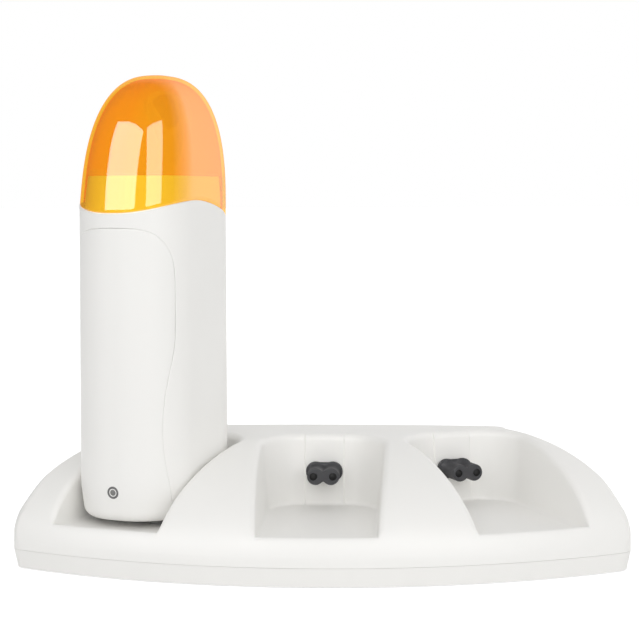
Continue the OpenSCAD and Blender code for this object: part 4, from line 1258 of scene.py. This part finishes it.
class HEATER_OT_warmer_parts(bpy.types.Operator):
    """Finishes the neck frame, the well, the lamp, the socket and what is inside the warmer"""

    bl_idname = "heater.warmer_parts"
    bl_label = "Warmer parts"

    def execute(self, context):
        finishes = settings().finishes
        # The neck frame's cream carries painted light: a glow that brightens it under the cap.
        cream = moulded_plastic("cream_moulding_painted_glow", finishes.cream, 0.5, glow=finishes.neck_painted_glow)
        finish_nodes(cream, "neck_frame")
        grey = moulded_plastic("dark_grey_warmer_moulding", finishes.grey, 0.5, grain=1200)
        finish_nodes(grey, "warmer_socket")
        finish_nodes(metal("drawn_aluminium", ALUMINIUM, 0.4, (1, 1, 0.05)), "heating_well")
        steel = metal("plated_clip_steel", STEEL, 0.28)
        finish_nodes(steel, "element_clip", "socket_pins", "warmer_screws")
        ceramic = moulded_plastic("element_ceramic", CERAMIC, 0.7, grain=500)
        finish_nodes(ceramic, "heating_element", "thermal_fuse")
        finish_nodes(moulded_plastic("green_laminate", GREEN, 0.35), "circuit_board")
        lens = moulded_plastic("lamp_lens", LENS_GREY, 0.55)
        finish_nodes(lens, "indicator_led")
        ring = moulded_plastic("lamp_ring", RING_GREY, 0.45)
        for piece, node, slot in zip(
            make_lamp(ring, lens), ("indicator_ring", "indicator_lens"), ("grey_plastic", "lens")
        ):
            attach(piece, "warmer")
            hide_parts(node)
        finish_nodes(moulded_plastic("brown_lead", BROWN, 0.45), "warmer_wire_live")
        finish_nodes(moulded_plastic("blue_lead", BLUE, 0.45), "warmer_wire_neutral")
        finish_nodes(moulded_plastic("warmer_foot_rubber", PALE_RUBBER, 0.8), "warmer_feet")
        return {"FINISHED"}


class HEATER_OT_cap(bpy.types.Operator):
    """Builds the translucent amber cap"""

    bl_idname = "heater.cap"
    bl_label = "Cap"

    def execute(self, context):
        piece = make_cap(amber_plastic(settings().finishes))
        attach(piece, "cap")
        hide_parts("cap")
        return {"FINISHED"}


# Widths and heights of the area lights, in metres
LEFT_BOX, RIGHT_BOX, FILL_BOX = (1.3, 1.1), (0.86, 1.1), (2.4, 1.2)


def add_area(name, power, size, spot, target):
    """A rectangular area light, of a width and a height in metres, that faces its target."""
    light = bpy.data.lights.new(name, "AREA")
    light.energy = power
    light.shape = "RECTANGLE"
    light.size, light.size_y = size
    lamp = bpy.data.objects.new(name, light)
    lamp.location = spot
    lamp.rotation_euler = (Vector(target) - Vector(spot)).to_track_quat("-Z", "Y").to_euler()
    bpy.context.scene.collection.objects.link(lamp)
    return lamp


def paper_white(name, strength):
    """White paper that the camera sees as white, while it keeps the object's shadow."""
    material, tree, shader, output = new_material(name)
    feed(tree, shader, {"Base Color": (0.8, 0.8, 0.8, 1), "Roughness": 0.9, "Specular IOR Level": 0.1})
    seen = is_ray(tree, "Is Camera Ray", "Is Glossy Ray", "Is Transmission Ray")
    level = calculate(tree, "MULTIPLY", seen, strength)
    glow = add_node(tree, "Emission", {"Color": WHITE, "Strength": level})["Emission"]
    both = add_node(tree, "AddShader", {0: shader.outputs["BSDF"], 1: glow})["Shader"]
    feed(tree, output, {"Surface": both})
    return material


def white_world(studio):
    """A world that lights with a plain strength and that the camera sees as white.

    Reflections see a white studio behind the object, brighter to the right, and a dim one on the
    camera's side.
    """
    world = bpy.data.worlds.new("studio_world")
    world.use_nodes = True
    tree = world.node_tree
    where = add_node(tree, "TexCoord")["Generated"]
    parts = add_node(tree, "SeparateXYZ", {"Vector": where})
    behind = calculate(tree, "MULTIPLY_ADD", parts["X"], studio.world_turn, parts["Y"])
    mirrored = map_range(
        tree, behind, studio.world_start, studio.world_end, studio.world_dim, studio.world_bright
    )
    level = mix_values(tree, is_ray(tree, "Is Glossy Ray"), studio.world_strength, mirrored)
    level = mix_values(tree, is_ray(tree, "Is Camera Ray", "Is Transmission Ray"), level, 1.0)
    feed(tree, tree.nodes["Background"], {"Color": WHITE, "Strength": level})
    bpy.context.scene.world = world


def add_camera(studio):
    """The photograph's camera: level at first, then turned, tilted and rolled."""
    data = bpy.data.cameras.new("photo_camera")
    data.sensor_fit = "HORIZONTAL"
    data.sensor_width = SENSOR_WIDTH
    data.lens = studio.focal_pixels * SENSOR_WIDTH / PHOTO_SIZE
    camera = bpy.data.objects.new("photo_camera", data)
    a, p, r = studio.heading, studio.pitch, studio.roll
    look = Vector((-math.sin(a) * math.cos(p), math.cos(a) * math.cos(p), -math.sin(p)))
    level = Vector((math.cos(a), math.sin(a), 0))
    upright = level.cross(look)
    right = math.cos(r) * level + math.sin(r) * upright
    up = -math.sin(r) * level + math.cos(r) * upright
    turn = Matrix((right, up, -look)).transposed().to_4x4()
    camera.matrix_world = Matrix.Translation(Vector(studio.station)) @ turn
    bpy.context.scene.collection.objects.link(camera)
    bpy.context.scene.camera = camera


class HEATER_OT_stage(bpy.types.Operator):
    """Sets up the floor, the lights, the world and the photograph's camera"""

    bl_idname = "heater.stage"
    bl_label = "Stage"

    def execute(self, context):
        studio = settings().studio
        bpy.context.scene.view_settings.view_transform = "Standard"
        half = studio.floor_half
        corners = np.array([[-half, -half, 0], [half, -half, 0], [half, half, 0], [-half, half, 0]])
        paper = paper_white("paper_floor", studio.floor_glow)
        floor = make_piece("floor", corners, np.array([[0, 1, 2, 3]]), paper)
        white_world(studio)
        for name, power, size, spot in (
            ("left_softbox", studio.left_power, LEFT_BOX, studio.left_place),
            ("right_softbox", studio.right_power, RIGHT_BOX, studio.right_place),
        ):
            add_area(name, power, size, spot, studio.cap_spot).visible_diffuse = False
        fill = add_area("front_fill", studio.fill_power, FILL_BOX, studio.fill_place, studio.base_spot)
        fill.visible_glossy = False
        add_camera(studio)
        return {"FINISHED"}


class HEATER_PT_panel(bpy.types.Panel):
    """Lists the wax heater's pieces and settings"""

    bl_idname = "HEATER_PT_panel"
    bl_label = "Wax Heater"
    bl_space_type = "VIEW_3D"
    bl_region_type = "UI"
    bl_category = "Wax Heater"

    def draw(self, context):
        for operator in OPERATORS:
            self.layout.operator(operator.bl_idname)
        for group in ("base", "bay", "nose", "warmer", "cap", "finishes", "studio"):
            box = self.layout.box()
            box.label(text=group.capitalize())
            values = getattr(context.scene.wax_heater, group)
            for name in values.__annotations__:
                box.prop(values, name)


GROUPS = (BaseSizes, BaySizes, NoseSizes, WarmerSizes, CapSizes, Finishes, Studio, HeaterSettings)
OPERATORS = (
    HEATER_OT_base_shell, HEATER_OT_base_parts, HEATER_OT_warmer_body, HEATER_OT_warmer_parts,
    HEATER_OT_cap, HEATER_OT_stage,
)


def register():
    """Registers every class and hangs the settings on the scene."""
    for item in GROUPS + OPERATORS + (HEATER_PT_panel,):
        bpy.utils.register_class(item)
    bpy.types.Scene.wax_heater = PointerProperty(type=HeaterSettings)


def unregister():
    """Takes the settings off the scene and unregisters every class."""
    del bpy.types.Scene.wax_heater
    for item in reversed(GROUPS + OPERATORS + (HEATER_PT_panel,)):
        bpy.utils.unregister_class(item)


def main():
    """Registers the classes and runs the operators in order."""
    register()
    for operator in OPERATORS:
        group, name = operator.bl_idname.split(".")
        getattr(getattr(bpy.ops, group), name)()


if __name__ == "__main__":
    main()
